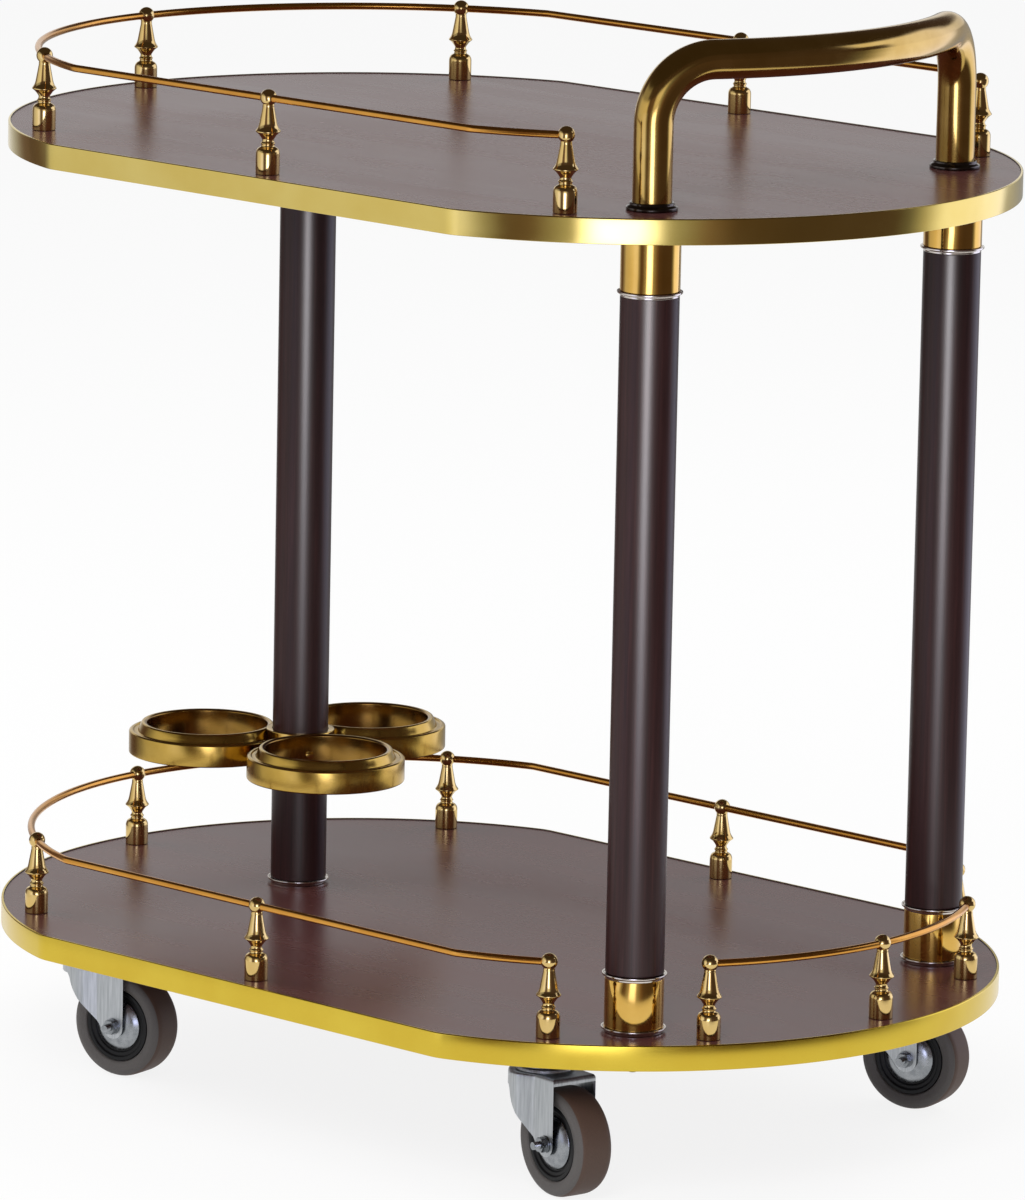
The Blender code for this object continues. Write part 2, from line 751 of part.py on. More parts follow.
def fork_mesh():
    """A pressed fork hanging from the mounting face at height zero, with the kingpin on Z.

    A shell with a round crown loses its rear wall below the lip and takes its side view. A raised
    boss on the crown carries the balls, and the kingpin and the axle have their holes.
    """
    crown = -crown_drop
    axle = wheel_radius - caster_height
    foot = axle - fork_leg_end_radius
    back = wheel_trail + fork_leg_end_radius
    side = fork_crown_radius + overrun
    half = fork_leg_gap / 2
    shell = prism(fork_outline(0), foot, crown)
    hollow = prism(fork_outline(fork_thickness), foot - overrun, crown - fork_crown_thickness)
    mouth = prism(((back - overrun, -half), (back + overrun, -half), (back + overrun, half),
                   (back - overrun, half)), foot - overrun, crown - fork_lip_height)
    shape = bmesh.new()
    loops = [[Vector((x, y, z)) for x, z in fork_side(crown, axle)] for y in (-side, side)]
    add_loops(shape, loops, False)
    pressed = combined(combined(shell, [hollow, mouth]), [mesh_of(shape)], "INTERSECT")
    boss_radius = race_radius - race_wall - seat_gap
    boss = turned(((boss_radius, crown - fork_crown_thickness / 2),
                   (boss_radius, crown + race_boss_height)), bolt_sides)
    kingpin_hole = turned(((bore(kingpin_radius, bolt_sides), crown - overrun),
                           (bore(kingpin_radius, bolt_sides), crown + race_boss_height + overrun)),
                          bolt_sides)
    axle_hole = bar([Vector((wheel_trail, -side, axle)), Vector((wheel_trail, side, axle))],
                    bore(axle_radius, hole_sides), hole_sides)
    return combined(combined(pressed, [boss], "UNION"), [kingpin_hole, axle_hole])


def plate_mesh():
    """Mounting plate with the upper race cup and the riveted kingpin, below height zero."""
    half = plate_size / 2
    low = -plate_thickness
    square = prism(((-half, -half), (half, -half), (half, half), (-half, half)), low, -seat_gap)
    roof = low - race_depth
    skirt = roof - 2 * race_ball_radius
    hub = race_radius - race_wall - 2 * race_ball_radius - 2 * seat_gap
    head = -crown_drop - fork_crown_thickness - seat_gap
    race = turned(((race_radius, low / 2), (race_radius, skirt), (race_radius - race_wall, skirt),
                   (race_radius - race_wall, roof), (hub, roof), (kingpin_radius, skirt),
                   (kingpin_radius, head), (kingpin_head_radius, head),
                   (kingpin_head_radius, head - kingpin_head_height)), bolt_sides)
    spot = plate_hole_spacing / 2
    holes = [drill(x, y, low - overrun, overrun, plate_hole_radius)
             for x in (-spot, spot) for y in (-spot, spot)]
    return combined(combined(square, [race], "UNION"), holes)


def build_casters(zinc, nylon, rubber):
    plate = plate_mesh()
    fork = fork_mesh()
    axle = axle_mesh()
    rim = rim_mesh()
    tyre = tyre_mesh()
    insets = {-1: (left_caster_end_inset, left_caster_side_inset),
              1: (right_caster_end_inset, right_caster_side_inset)}
    for name, side, row, heading in caster_headings:
        end_inset, side_inset = insets[side]
        spot = (side * (tray_length / 2 - end_inset), row * (half_width - side_inset), caster_height)
        place(name + "_caster_plate", plate, zinc, spot)
        swivel = pivot(name + "_swivel", spot, heading)
        hub = pivot(name + "_hub", (wheel_trail, 0, wheel_radius - caster_height), parent=swivel)
        place(name + "_fork", fork, zinc, parent=swivel)
        place(name + "_axle", axle, zinc, parent=hub)
        place(name + "_rim", rim, nylon, parent=hub)
        place(name + "_tyre", tyre, rubber, parent=hub)


def build():
    clear_scene()
    board_wood = finish("dark_laminate", (0.055, 0.030, 0.026), 0.35, 0)
    post_wood = finish("dark_mahogany", (0.020, 0.009, 0.008), 0.35, 0)
    band_brass = finish("satin_gold", (0.62, 0.46, 0.10), 0.35, 1)
    bright_brass = finish("polished_brass", (0.55, 0.33, 0.07), 0.15, 1)
    antique_brass = finish("antique_brass", (0.30, 0.17, 0.035), 0.2, 1)
    nickel = finish("polished_nickel", (0.60, 0.56, 0.52), 0.15, 1)
    dark_nickel = finish("black_nickel", (0.08, 0.075, 0.07), 0.2, 1)
    zinc = finish("zinc_plate", (0.40, 0.42, 0.42), 0.35, 1)
    nylon = finish("black_nylon", (0.008, 0.008, 0.009), 0.45, 0)
    rubber = finish("grey_rubber", (0.080, 0.070, 0.064), 0.75, 0)
    build_trays(board_wood, band_brass)
    build_posts(post_wood, bright_brass, nickel)
    build_tie_rods(zinc)
    build_handle(antique_brass, dark_nickel)
    build_galleries(bright_brass, bright_brass)
    build_bottle_holder(antique_brass)
    build_casters(zinc, nylon, rubber)


build()
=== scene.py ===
import json
from math import acos, atan2, cos, pi, radians, sin, sqrt

import bmesh
import bpy
import numpy as np
from mathutils import Matrix, Vector


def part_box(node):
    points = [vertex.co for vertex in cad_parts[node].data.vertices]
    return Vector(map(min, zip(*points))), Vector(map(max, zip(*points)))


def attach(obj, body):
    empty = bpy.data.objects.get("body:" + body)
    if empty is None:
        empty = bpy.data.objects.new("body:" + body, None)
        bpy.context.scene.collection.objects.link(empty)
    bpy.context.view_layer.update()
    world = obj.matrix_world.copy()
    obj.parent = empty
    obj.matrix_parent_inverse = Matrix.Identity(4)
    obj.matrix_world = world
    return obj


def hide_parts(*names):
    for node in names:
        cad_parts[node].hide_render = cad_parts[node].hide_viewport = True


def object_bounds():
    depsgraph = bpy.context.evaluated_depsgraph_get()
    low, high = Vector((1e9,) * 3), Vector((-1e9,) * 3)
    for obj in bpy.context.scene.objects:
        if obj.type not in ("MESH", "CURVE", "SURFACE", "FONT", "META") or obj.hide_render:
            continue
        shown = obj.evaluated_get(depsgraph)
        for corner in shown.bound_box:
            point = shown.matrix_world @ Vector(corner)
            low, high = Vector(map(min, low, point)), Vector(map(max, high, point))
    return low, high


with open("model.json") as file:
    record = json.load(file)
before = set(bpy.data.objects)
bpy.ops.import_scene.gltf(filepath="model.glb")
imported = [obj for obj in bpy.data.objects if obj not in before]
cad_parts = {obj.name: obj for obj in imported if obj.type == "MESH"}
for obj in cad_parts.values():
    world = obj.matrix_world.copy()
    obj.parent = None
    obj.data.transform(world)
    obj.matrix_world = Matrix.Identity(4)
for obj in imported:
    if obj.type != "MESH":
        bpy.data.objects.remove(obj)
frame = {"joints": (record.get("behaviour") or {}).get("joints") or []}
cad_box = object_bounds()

# Sizes in metres. The first come from the frame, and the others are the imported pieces' own

def middle_of(node):
    """The middle of a CAD node in plan."""
    low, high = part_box(node)
    return (low.x + high.x) / 2, (low.y + high.y) / 2

tray_length, tray_width = (cad_box[1] - cad_box[0])[:2]
under_bottom, bottom_face = [corner.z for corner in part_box("bottom_board")]
under_top, top_face = [corner.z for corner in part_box("top_board")]
posts = {name: middle_of(name + "_post") for name in ("left", "near", "far")}
left_post, near_post, far_post = posts.values()
joints = {joint["name"]: joint for joint in frame["joints"]}
seat = 0.0003

half_width = tray_width / 2
end_bulge = 0.0126
end_radius = half_width + end_bulge
end_centre = tray_length / 2 - end_radius
shoulder_radius = 0.040
shoulder_y = half_width - shoulder_radius
shoulder_x = end_centre + sqrt((end_radius - shoulder_radius) ** 2 - shoulder_y ** 2)
shoulder_angle = atan2(shoulder_y, shoulder_x - end_centre)
board_thickness = top_face - under_top
band_thickness = 0.002
band_proud = 0.0008

post_radius = 0.0214
sleeve_radius = 0.0217
sleeve_bore = 0.0205
sleeve_length = 0.036
dish_height = 0.0038
dish_lip = 0.0237
dish_bore = 0.0204

handle_radius = 0.0143
handle_rise = 0.1065
handle_bend = 0.045
handle_splay = radians(28)

rail_radius = 0.0028
rail_inset = 0.0224
rail_path = end_radius - rail_inset
ball_radius = 0.0062
ball_height = 0.0557
end_spindles = radians(57)
front_spindles = radians(32)

holder_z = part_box("holder_collar")[0].z
holder_screws = holder_z + 0.00875
ring_bore = 0.0466
ring_outer = 0.0605
ring_reach = 0.07439
collar_inner = 0.02189
collar_outer = 0.02639
collar_height = 0.0241

casters = ("near_left", "near_right", "far_left", "far_right")
trail = 0.028
wheel_radius = 0.040
crown_z = -0.0170
axle_z = wheel_radius - under_bottom
kingpin_radius = 0.0055
plate_half = 0.031
plate_thickness = 0.0025
plate_corner = 0.004
fork_half = 0.01885
bolt_radius = 0.003
thread_radius = 0.0029
washer_bore = 0.0031
nut_radius = 0.0058

sharp_edge = radians(40)
merge_gap = 2e-6

# Meshes: every shape is a grid of points, computed as whole arrays

def skin(grid, around=True, along=False):
    """Quads over a grid of points (rows, columns, 3).

    around joins the last column to the first, and along joins the last row to the first.
    """
    rows, columns = grid.shape[:2]
    index = np.arange(rows * columns).reshape(rows, columns)
    if along:
        index = np.vstack([index, index[:1]])
    if around:
        index = np.hstack([index, index[:, :1]])
    quads = np.stack([index[:-1, :-1], index[:-1, 1:], index[1:, 1:], index[1:, :-1]], axis=-1)
    return grid.reshape(-1, 3), quads.reshape(-1, 4)

def mesh_of(name, skins):
    """One mesh of several skins: seams and poles are merged, and faces turned outwards."""
    count = 0
    points, faces = [], []
    for vertices, quads in skins:
        points.append(vertices)
        faces.append(quads + count)
        count += len(vertices)
    mesh = bpy.data.meshes.new(name)
    mesh.from_pydata(np.concatenate(points), [], np.concatenate(faces))
    shape = bmesh.new()
    shape.from_mesh(mesh)
    bmesh.ops.remove_doubles(shape, verts=shape.verts, dist=merge_gap)
    bmesh.ops.recalc_face_normals(shape, faces=shape.faces)
    shape.to_mesh(mesh)
    shape.free()
    mesh.shade_smooth()
    mesh.set_sharp_from_angle(angle=sharp_edge)
    return mesh

def eased(rows, closed=False, steps=4):
    """A profile whose corners are rounded.

    Each (a, b, easing) corner P is replaced by the curve (1-t)^2 S + 2t(1-t) P + t^2 E, where S
    and E lie on its two sides, the easing away from it. A row of two numbers stays sharp.
    """
    corners = np.array([row[:2] for row in rows], float)
    easing = [row[2] if len(row) > 2 else 0 for row in rows]
    t = np.linspace(0, 1, steps + 1)[:, None]
    out = []
    for i, corner in enumerate(corners):
        is_end = not closed and i in (0, len(corners) - 1)
        if is_end or not easing[i]:
            out.append(corner[None])
            continue
        sides = []
        for other in (corners[i - 1], corners[(i + 1) % len(corners)]):
            way = other - corner
            length = np.hypot(*way)
            sides.append(corner + way / length * min(easing[i], length / 2))
        out.append((1 - t) ** 2 * sides[0] + 2 * t * (1 - t) * corner + t ** 2 * sides[1])
    return np.concatenate(out)

def lathe(profile, sides=64, closed=False):
    """A turned shape: each (radius, height) of the profile goes round Z."""
    turn = np.linspace(0, 2 * pi, sides, endpoint=False)
    radius, height = np.asarray(profile, float).T
    grid = np.stack([radius[:, None] * np.cos(turn), radius[:, None] * np.sin(turn),
                     height[:, None] + 0 * turn], axis=-1)
    return skin(grid, along=closed)

def sweep(path, side, section):
    """A section carried along an open path, with both ends closed by a point.

    Each (a, b) of the section goes to point + a * side + b * (along x side).
    """
    path = np.asarray(path, float)
    side = np.broadcast_to(np.asarray(side, float), path.shape)
    ahead = np.roll(path, -1, 0) - path
    behind = path - np.roll(path, 1, 0)
    ahead[-1] = behind[-1]
    behind[0] = ahead[0]
    ahead = ahead / np.linalg.norm(ahead, axis=1)[:, None]
    behind = behind / np.linalg.norm(behind, axis=1)[:, None]
    along = ahead + behind
    along = along / np.linalg.norm(along, axis=1)[:, None]
    third = np.cross(along, side)
    a, b = np.asarray(section, float).T
    grid = path[:, None] + a[None, :, None] * side[:, None] + b[None, :, None] * third[:, None]
    middle = grid.mean(1, keepdims=True) + 0 * grid
    return skin(np.concatenate([middle[:1], grid, middle[-1:]]))

def round_section(radius, sides):
    """A circle in the (a, b) plane of a sweep."""
    turn = np.linspace(0, 2 * pi, sides, endpoint=False)
    return np.stack([radius * np.cos(turn), radius * np.sin(turn)], axis=-1)

def arc(centre_x, centre_y, radius, first, last, steps):
    """Points of a circle in plan, from one direction to another."""
    turn = np.linspace(first, last, steps + 1)
    return np.stack([centre_x + radius * np.cos(turn), centre_y + radius * np.sin(turn)], axis=-1)

def raised(outline, height):
    """Plan points at a height."""
    return np.concatenate([outline, np.full((len(outline), 1), height)], axis=1)

def moved(part, matrix):
    """The vertices of a skin taken through a 4 x 4 matrix."""
    vertices, quads = part
    matrix = np.array(matrix)
    return vertices @ matrix[:3, :3].T + matrix[:3, 3], quads

def at(x, y, z=0.0, turn=0.0):
    """Takes what is made at the origin to a point, turned about Z."""
    return Matrix.Translation((x, y, z)) @ Matrix.Rotation(turn, 4, "Z")

def laid(direction, x=0.0, y=0.0, z=0.0):
    """Takes what stands on Z to lie along a plan direction from a point."""
    return at(x, y, z, direction) @ Matrix.Rotation(pi / 2, 4, "Y")

def piece(name, skins, finish, body, slot, *nodes):
    """A finished piece: its mesh, material and body, and the CAD nodes it stands for; the slot is
    not used.
    """
    if isinstance(skins, tuple):
        skins = [skins]
    made = bpy.data.objects.new(name, mesh_of(name, skins))
    bpy.context.scene.collection.objects.link(made)
    made.data.materials.append(finish)
    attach(made, body)
    if nodes:
        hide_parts(*nodes)
    return made

# Materials

def linear(code):
    """An sRGB hex colour as linear light."""
    values = [int(code[i:i + 2], 16) / 255 for i in (1, 3, 5)]
    return [v / 12.92 if v <= 0.04045 else ((v + 0.055) / 1.055) ** 2.4 for v in values] + [1.0]

def feed(tree, node, inputs):
    """Each input of a node is linked from a socket or set to a value."""
    for key, value in inputs.items():
        if isinstance(value, bpy.types.NodeSocket):
            tree.links.new(value, node.inputs[key])
        else:
            node.inputs[key].default_value = value

def add(tree, kind, inputs=None, stops=(), **settings):
    """Add a shader node with its settings and inputs.

    A colour ramp also takes its stops: (place, colour as hex or as linear levels).
    """
    node = tree.nodes.new(kind)
    for key, value in settings.items():
        setattr(node, key, value)
    feed(tree, node, inputs or {})
    if stops:
        while len(node.color_ramp.elements) < len(stops):
            node.color_ramp.elements.new(0.5)
        for element, (place, colour) in zip(node.color_ramp.elements, stops):
            element.position = place
            element.color = linear(colour) if isinstance(colour, str) else (*colour, 1.0)
    return node

def blank(name):
    """A new material, with its node tree, its shader and the object's own coordinates."""
    material = bpy.data.materials.new(name)
    material.use_nodes = True
    tree = material.node_tree
    shader = tree.nodes["Principled BSDF"]
    place = add(tree, "ShaderNodeTexCoord").outputs["Object"]
    return material, tree, shader, place

def per_metre(sizes_mm):
    """The texture scale, in repeats per metre, of sizes in millimetres."""
    return [1000 / size for size in sizes_mm]

# Most of a noise texture's values lie between these two
dim, bright = 0.3, 0.7

def metal(name, light, dark, roughness, cloud_mm=(3, 3, 3), bump=0.0, spread=0.06):
    """A plated or lacquered metal: a cloudy tone between two colours, and uneven polish.

    The roughness goes up and down by the spread over clouds of the size given, and bump is the
    depth of their relief in metres.
    """
    material, tree, shader, place = blank(name)
    scaled = add(tree, "ShaderNodeMapping", {"Vector": place, "Scale": per_metre(cloud_mm)})
    noise = add(tree, "ShaderNodeTexNoise", {"Vector": scaled.outputs["Vector"], "Scale": 1.0,
                "Detail": 3.0, "Roughness": 0.6}).outputs["Fac"]
    tone = add(tree, "ShaderNodeValToRGB", {"Fac": noise}, [(dim, dark), (bright, light)])
    rough = add(tree, "ShaderNodeMapRange", {"Value": noise, "From Min": dim, "From Max": bright,
                "To Min": max(roughness - spread, 0.02), "To Max": roughness + spread})
    feed(tree, shader, {"Base Color": tone.outputs["Color"], "Roughness": rough.outputs["Result"],
         "Metallic": 1.0})
    if bump:
        relief = add(tree, "ShaderNodeBump", {"Height": noise, "Strength": 1.0, "Distance": bump})
        feed(tree, shader, {"Normal": relief.outputs["Normal"]})
    return material

def laminate():
    """A dark wood print under a satin film: faint long figure, and a pebble that blurs mirrors.

    The figure's streaks are 250 mm long and 38 mm wide, as on such prints. The press plate's
    pebble is about 0.3 mm, and is drawn at 1.1 mm so that it shows.
    """
    figure_mm = (250, 38.46, 38.46)
    pebble_mm = 1.111
    pebble_depth = 0.000045
    faint, strong = 0.25, 0.75
    material, tree, shader, place = blank("satin_dark_laminate")
    long = add(tree, "ShaderNodeMapping", {"Vector": place, "Scale": per_metre(figure_mm)})
    figure = add(tree, "ShaderNodeTexNoise", {"Vector": long.outputs["Vector"], "Scale": 1.0,
                 "Detail": 5.0, "Roughness": 0.6, "Distortion": 0.4}).outputs["Fac"]
    colour = add(tree, "ShaderNodeValToRGB", {"Fac": figure},
                 [(faint, "#4b2a28"), (strong, "#563230")])
    rough = add(tree, "ShaderNodeMapRange", {"Value": figure, "From Min": faint,
                "From Max": strong, "To Min": 0.25, "To Max": 0.29})
    pebble = add(tree, "ShaderNodeTexNoise", {"Vector": place, "Scale": 1000 / pebble_mm,
                 "Detail": 2.0}).outputs["Fac"]
    relief = add(tree, "ShaderNodeBump", {"Height": pebble, "Strength": 0.4,
                 "Distance": pebble_depth})
    feed(tree, shader, {"Base Color": colour.outputs["Color"],
         "Roughness": rough.outputs["Result"], "Specular IOR Level": 0.39,
         "Normal": relief.outputs["Normal"]})
    return material

def mahogany():
    """A stained dowel under satin lacquer: near black red-brown, with fine grain up the post.

    The pores are 110 mm long. They are about 0.4 mm wide, and are drawn 2.4 mm wide to show.
    """
    pore_mm = (2.38, 2.38, 111)
    pore_depth = 0.00008
    material, tree, shader, place = blank("lacquered_dark_mahogany")
    long = add(tree, "ShaderNodeMapping", {"Vector": place, "Scale": per_metre(pore_mm)})
    grain = add(tree, "ShaderNodeTexNoise", {"Vector": long.outputs["Vector"], "Scale": 1.0,
                "Detail": 4.0, "Roughness": 0.65}).outputs["Fac"]
    colour = add(tree, "ShaderNodeValToRGB", {"Fac": grain},
                 [(0.3, "#210c0c"), (0.55, "#2d1414"), (0.8, "#3c1f1e")])
    relief = add(tree, "ShaderNodeBump", {"Height": grain, "Strength": 0.25,
                 "Distance": pore_depth})
    feed(tree, shader, {"Base Color": colour.outputs["Color"], "Roughness": 0.36,
         "Specular IOR Level": 0.27, "Normal": relief.outputs["Normal"]})
    return material

def moulded(name, light, dark, roughness, pebble_mm, depth, gloss=0.5):
    """Moulded rubber or plastic, or a brushed lacquer: small blotches over a fine pebble."""
    material, tree, shader, place = blank(name)
    fine = add(tree, "ShaderNodeTexNoise", {"Vector": place, "Scale": 1000 / pebble_mm,
               "Detail": 4.0, "Roughness": 0.6}).outputs["Fac"]
    tone = add(tree, "ShaderNodeValToRGB", {"Fac": fine}, [(dim, dark), (bright, light)])
    relief = add(tree, "ShaderNodeBump", {"Height": fine, "Strength": 0.5, "Distance": depth})
    feed(tree, shader, {"Base Color": tone.outputs["Color"], "Roughness": roughness,
         "Specular IOR Level": gloss, "Normal": relief.outputs["Normal"]})
    return material

# Pressed laminate: a brown so dark that the eye mostly sees the blurred sheen of its film
board = laminate()
# Turned and sprayed hardwood: nearly black, with one soft streak of light down the post
wood = mahogany()

# Brass-plated steel strip, rolled and lacquered satin: it spreads the lamps into broad bands of
# yellow. The top tray's strip is paler and smoother than the bottom one's
pale_band = metal("satin_pale_gold_band", "#dcc674", "#d4ba62", 0.13, (70, 70, 70), spread=0.03)
gold_band = metal("satin_gold_band", "#d8bd45", "#cfb13c", 0.20, (70, 70, 70), spread=0.04)
# Drawn brass tube, buffed: hard upright streaks of gold and brown, as in a mirror
brass = metal("polished_brass", "#dcb460", "#d0a550", 0.09, (30, 30, 30), spread=0.02)
# Turned brass, buffed on the lathe: paler, with a small bright point on every bead and ball
pale_brass = metal("polished_pale_brass", "#dcc081", "#d0b06c", 0.10, (30, 30, 30), spread=0.02)
# Drawn brass wire under a thick warm lacquer: orange, with one soft line of light
rail_gold = metal("lacquered_rail_brass", "#d69c48", "#c98d3c", 0.18, (30, 30, 30), spread=0.02)
# Bent steel tube, antique-plated and clear-coated: brown gold, with streaks that bend with it
bronze = metal("antique_bronze_gold", "#c8a860", "#b8964c", 0.13, (30, 30, 30), spread=0.03)
# Cast and turned rings with satin antique plating: soft light and brown patches round the wall
antique = metal("satin_antique_brass", "#c4a352", "#b39142", 0.18, (30, 30, 30), spread=0.03)
# The same plating painted darker in the bore: painted shade in the hollow behind the bright lip
bore_painted_shade = metal("antique_bore_painted_shade", "#a6803e", "#866732", 0.19, (30, 30, 30), spread=0.03)
# Nickel over turned brass, polished: a thin white line at each end of a ferrule
nickel = metal("polished_nickel", "#d8d0c8", "#c8c0b8", 0.12)
# Black nickel over steel, polished: nearly black, with sharp small lights
black_nickel = metal("black_nickel", "#5a5450", "#4a4542", 0.14)
# Pressed steel sheet, zinc-plated: grey and matt, with upright rolling lines. They are about
# 0.2 mm apart, and are drawn 1.6 mm apart so that they show
zinc = metal("brushed_zinc_plate", "#bcbfc1", "#999da0", 0.34, (1.6, 1.6, 30), 0.00001)
# Bright zinc plating on turned parts: a grey that shows soft lights and the dark tyre
bright_zinc = metal("bright_zinc_plate", "#a0a3a6", "#7f8387", 0.27, (6, 6, 6))
# Moulded nylon: black with a dull bloom. Its pebble is about 0.1 mm, drawn at 0.8 mm
nylon = moulded("moulded_black_nylon", "#151516", "#0d0d0e", 0.45, 0.8, 0.00002, 0.22)
# A dark coat on the band's inner side, a painted reflection of the dark board: a thin dark line
# inside the far rim
inner_band_painted_reflection = moulded("dark_inner_band_painted_reflection", "#4a4340", "#3a3431", 0.40, 0.8, 0.00001, 0.3)
# Moulded rubber: chalky grey sides, and a tread worn browner by the floor. The mould's pebble is
# about 0.2 mm, drawn at 0.7 mm
tyre_side = moulded("grey_rubber_side", "#5b5755", "#4e4a48", 0.58, 0.7, 0.00003)
tread = moulded("brown_rubber_tread", "#543f33", "#47342a", 0.62, 0.7, 0.00003)

def paint(made, finish, chosen):
    """The faces that chosen, an array of true and false, picks take a second material."""
    made.data.materials.append(finish)
    made.data.polygons.foreach_set("material_index", chosen.astype(np.int32))
    made.data.update()

def face_places(made, place):
    """Each face's distance from a placed shape's axis, and its height along that axis."""
    count = len(made.data.polygons)
    centre = np.empty(3 * count)
    made.data.polygons.foreach_get("center", centre)
    local = np.c_[centre.reshape(-1, 3), np.ones(count)] @ np.array(place.inverted()).T
    return np.hypot(local[:, 0], local[:, 1]), local[:, 2]

# Trays

def oval(inset, end_steps=72, shoulder_steps=8):
    """The tray outline moved inwards, from the middle of the far side round by the left.

    Each end is one large arc, which a small shoulder arc joins to each straight side; the inset
    is taken off every radius.
    """
    end = end_radius - inset
    shoulder = shoulder_radius - inset
    turn = shoulder_angle
    runs = [
        arc(-shoulder_x, shoulder_y, shoulder, pi / 2, pi - turn, shoulder_steps),
        arc(-end_centre, 0, end, pi - turn, pi + turn, end_steps)[1:],
        arc(-shoulder_x, -shoulder_y, shoulder, pi + turn, 3 * pi / 2, shoulder_steps)[1:],
        arc(shoulder_x, -shoulder_y, shoulder, -pi / 2, -turn, shoulder_steps),
        arc(end_centre, 0, end, -turn, turn, end_steps)[1:],
        arc(shoulder_x, shoulder_y, shoulder, turn, pi / 2, shoulder_steps)[1:],
    ]
    return np.concatenate(runs)

def build_tray(name, face, band):
    """The panel, and its band with rounded edges that stands a little proud.

    Both are the oval over (inset, height). The band's inner side takes a painted reflection of the
    dark board.
    """
    rim = oval(band_thickness + seat / 2)
    low = face - board_thickness
    rows = [raised(rim * 0, low), raised(rim, low), raised(rim, face), raised(rim * 0, face)]
    piece(name + "_laminate_board", skin(np.array(rows)), board, "cart_frame", "board",
          name + "_board")
    high = face + band_proud
    profile = eased([(band_thickness, low), (0, low, 0.0006), (0, high, 0.0010),
                     (band_thickness, high, 0.0004)], closed=True)
    grid = np.array([raised(oval(inset), height) for inset, height in profile])
    made = piece(name + "_metal_band", skin(grid, along=True), band, "cart_frame", "band_brass",
                 name + "_band")
    middle = (profile[:, 0] + np.roll(profile[:, 0], -1)) / 2
    # The band's inner faces take the dark coat: a painted reflection of the board
    paint(made, inner_band_painted_reflection, np.repeat(middle > band_thickness - seat, grid.shape[1]))

# Posts, ferrules and rods

def build_post(name, x, y, tenon):
    """A dowel between the trays, turned with eased ends; the tenon is left to its end fittings."""
    low = bottom_face + seat + tenon
    high = under_top - seat - tenon
    profile = eased([(0, low), (post_radius, low, 0.0006), (post_radius, high, 0.0006), (0, high)])
    piece(name + "_wood_dowel", moved(lathe(profile, sides=72), at(x, y)), wood, "cart_frame",
          "post_wood", name + "_post")

def dish(start):
    """A flared ring, turned: a concave side that opens to a rounded lip."""
    rise = dish_height
    return lathe(eased([
        (dish_bore, start),
        (post_radius + 0.0001, start, 0.0003),
        (post_radius + 0.0003, start + rise * 0.45, 0.0006),
        (dish_lip, start + rise * 0.60, 0.0006),
        (dish_lip, start + rise, 0.0005),
        (dish_lip - 0.0012, start + rise, 0.0004),
        (post_radius + 0.0005, start + rise * 0.8, 0.0003),
        (dish_bore, start + rise * 0.8),
    ], closed=True), sides=72, closed=True)

def build_ferrule(name, x, y, low):
    """A turned sleeve between two dish rings."""
    lower = low + dish_height
    upper = lower + sleeve_length
    sleeve = lathe(eased([(sleeve_bore, lower), (sleeve_radius, lower, 0.0003),
                          (sleeve_radius, upper, 0.0003), (sleeve_bore, upper)], closed=True),
                   sides=72, closed=True)
    piece(name + "_brass_sleeve", moved(sleeve, at(x, y)), brass, "cart_frame", "bright_brass",
          name + "_ferrule")
    piece(name + "_dish_rings", [moved(dish(low), at(x, y)), moved(dish(upper), at(x, y))], nickel,
          "cart_frame", "nickel")

def build_posts():
    """The left post with a dish ring at each end, and the two right posts with ferrules."""
    low = bottom_face + seat
    high = under_top - seat
    build_post("left", *left_post, dish_height)
    piece("left_bottom_dish", moved(dish(low), at(*left_post)), nickel, "cart_frame", "nickel",
          "left_bottom_ring")
    piece("left_top_dish", moved(dish(high - dish_height), at(*left_post)), nickel, "cart_frame",
          "nickel", "left_top_ring")
    tall = sleeve_length + 2 * dish_height
    for name, spot in (("near", near_post), ("far", far_post)):
        build_post(name, *spot, tall)
        build_ferrule(name + "_bottom", *spot, low)
        build_ferrule(name + "_top", *spot, high - tall)

# Push handle

def handle_points():
    """The bent tube's middle line and its level cross direction.

    A leg goes up, a quarter turn of 45 mm radius leans out by the splay, and the grip is one
    level arc; the far half mirrors the near one.
    """
    foot = top_face + seat
    grip = top_face + handle_rise
    leg_steps = (0, 0.02, 0.04)
    x, y = near_post
    turn = np.linspace(0, pi / 2, 25)
    out = handle_bend * (1 - np.cos(turn))
    bend = np.stack([x + sin(handle_splay) * out, y + cos(handle_splay) * out,
                     grip - handle_bend + handle_bend * np.sin(turn)], axis=-1)
    leg = np.array([[x, y, foot + step] for step in leg_steps])
    bow = -bend[-1][1] / sin(handle_splay)
    arch_turn = np.linspace(-handle_splay, 0, 25)[1:]
    centre = bend[-1][0] - bow * cos(handle_splay)
    arch = np.stack([centre + bow * np.cos(arch_turn), bow * np.sin(arch_turn),
                     grip + 0 * arch_turn], axis=-1)
    half = np.concatenate([leg, bend, arch])
    lean = np.concatenate([np.full(len(leg) + len(bend), -handle_splay), arch_turn])
    path = np.concatenate([half, half[-2::-1] * [1, -1, 1]])
    lean = np.concatenate([lean, -lean[-2::-1]])
    side = np.stack([np.cos(lean), np.sin(lean), 0 * lean], axis=-1)
    return path, side

def build_handle():
    """The bent tube, and a turned collar of flange and neck round each foot."""
    path, side = handle_points()
    piece("bent_handle", sweep(path, side, round_section(handle_radius, sides=40)), bronze,
          "cart_frame", "antique_brass", "handle_tube")
    bore, flange, neck, rise = handle_radius + 0.0004, 0.0187, 0.0160, 0.0055
    collar = lathe(eased([(bore, 0), (flange, 0, 0.0004), (flange, 0.0022, 0.0010),
                          (0.0165, 0.0034, 0.0008), (neck, rise, 0.0006), (bore, rise)],
                         closed=True), closed=True)
    for name, spot in (("near", near_post), ("far", far_post)):
        piece(name + "_handle_collar", moved(collar, at(*spot, top_face + seat)), black_nickel,
              "cart_frame", "dark_nickel", name + "_handle_ring")

# Galleries

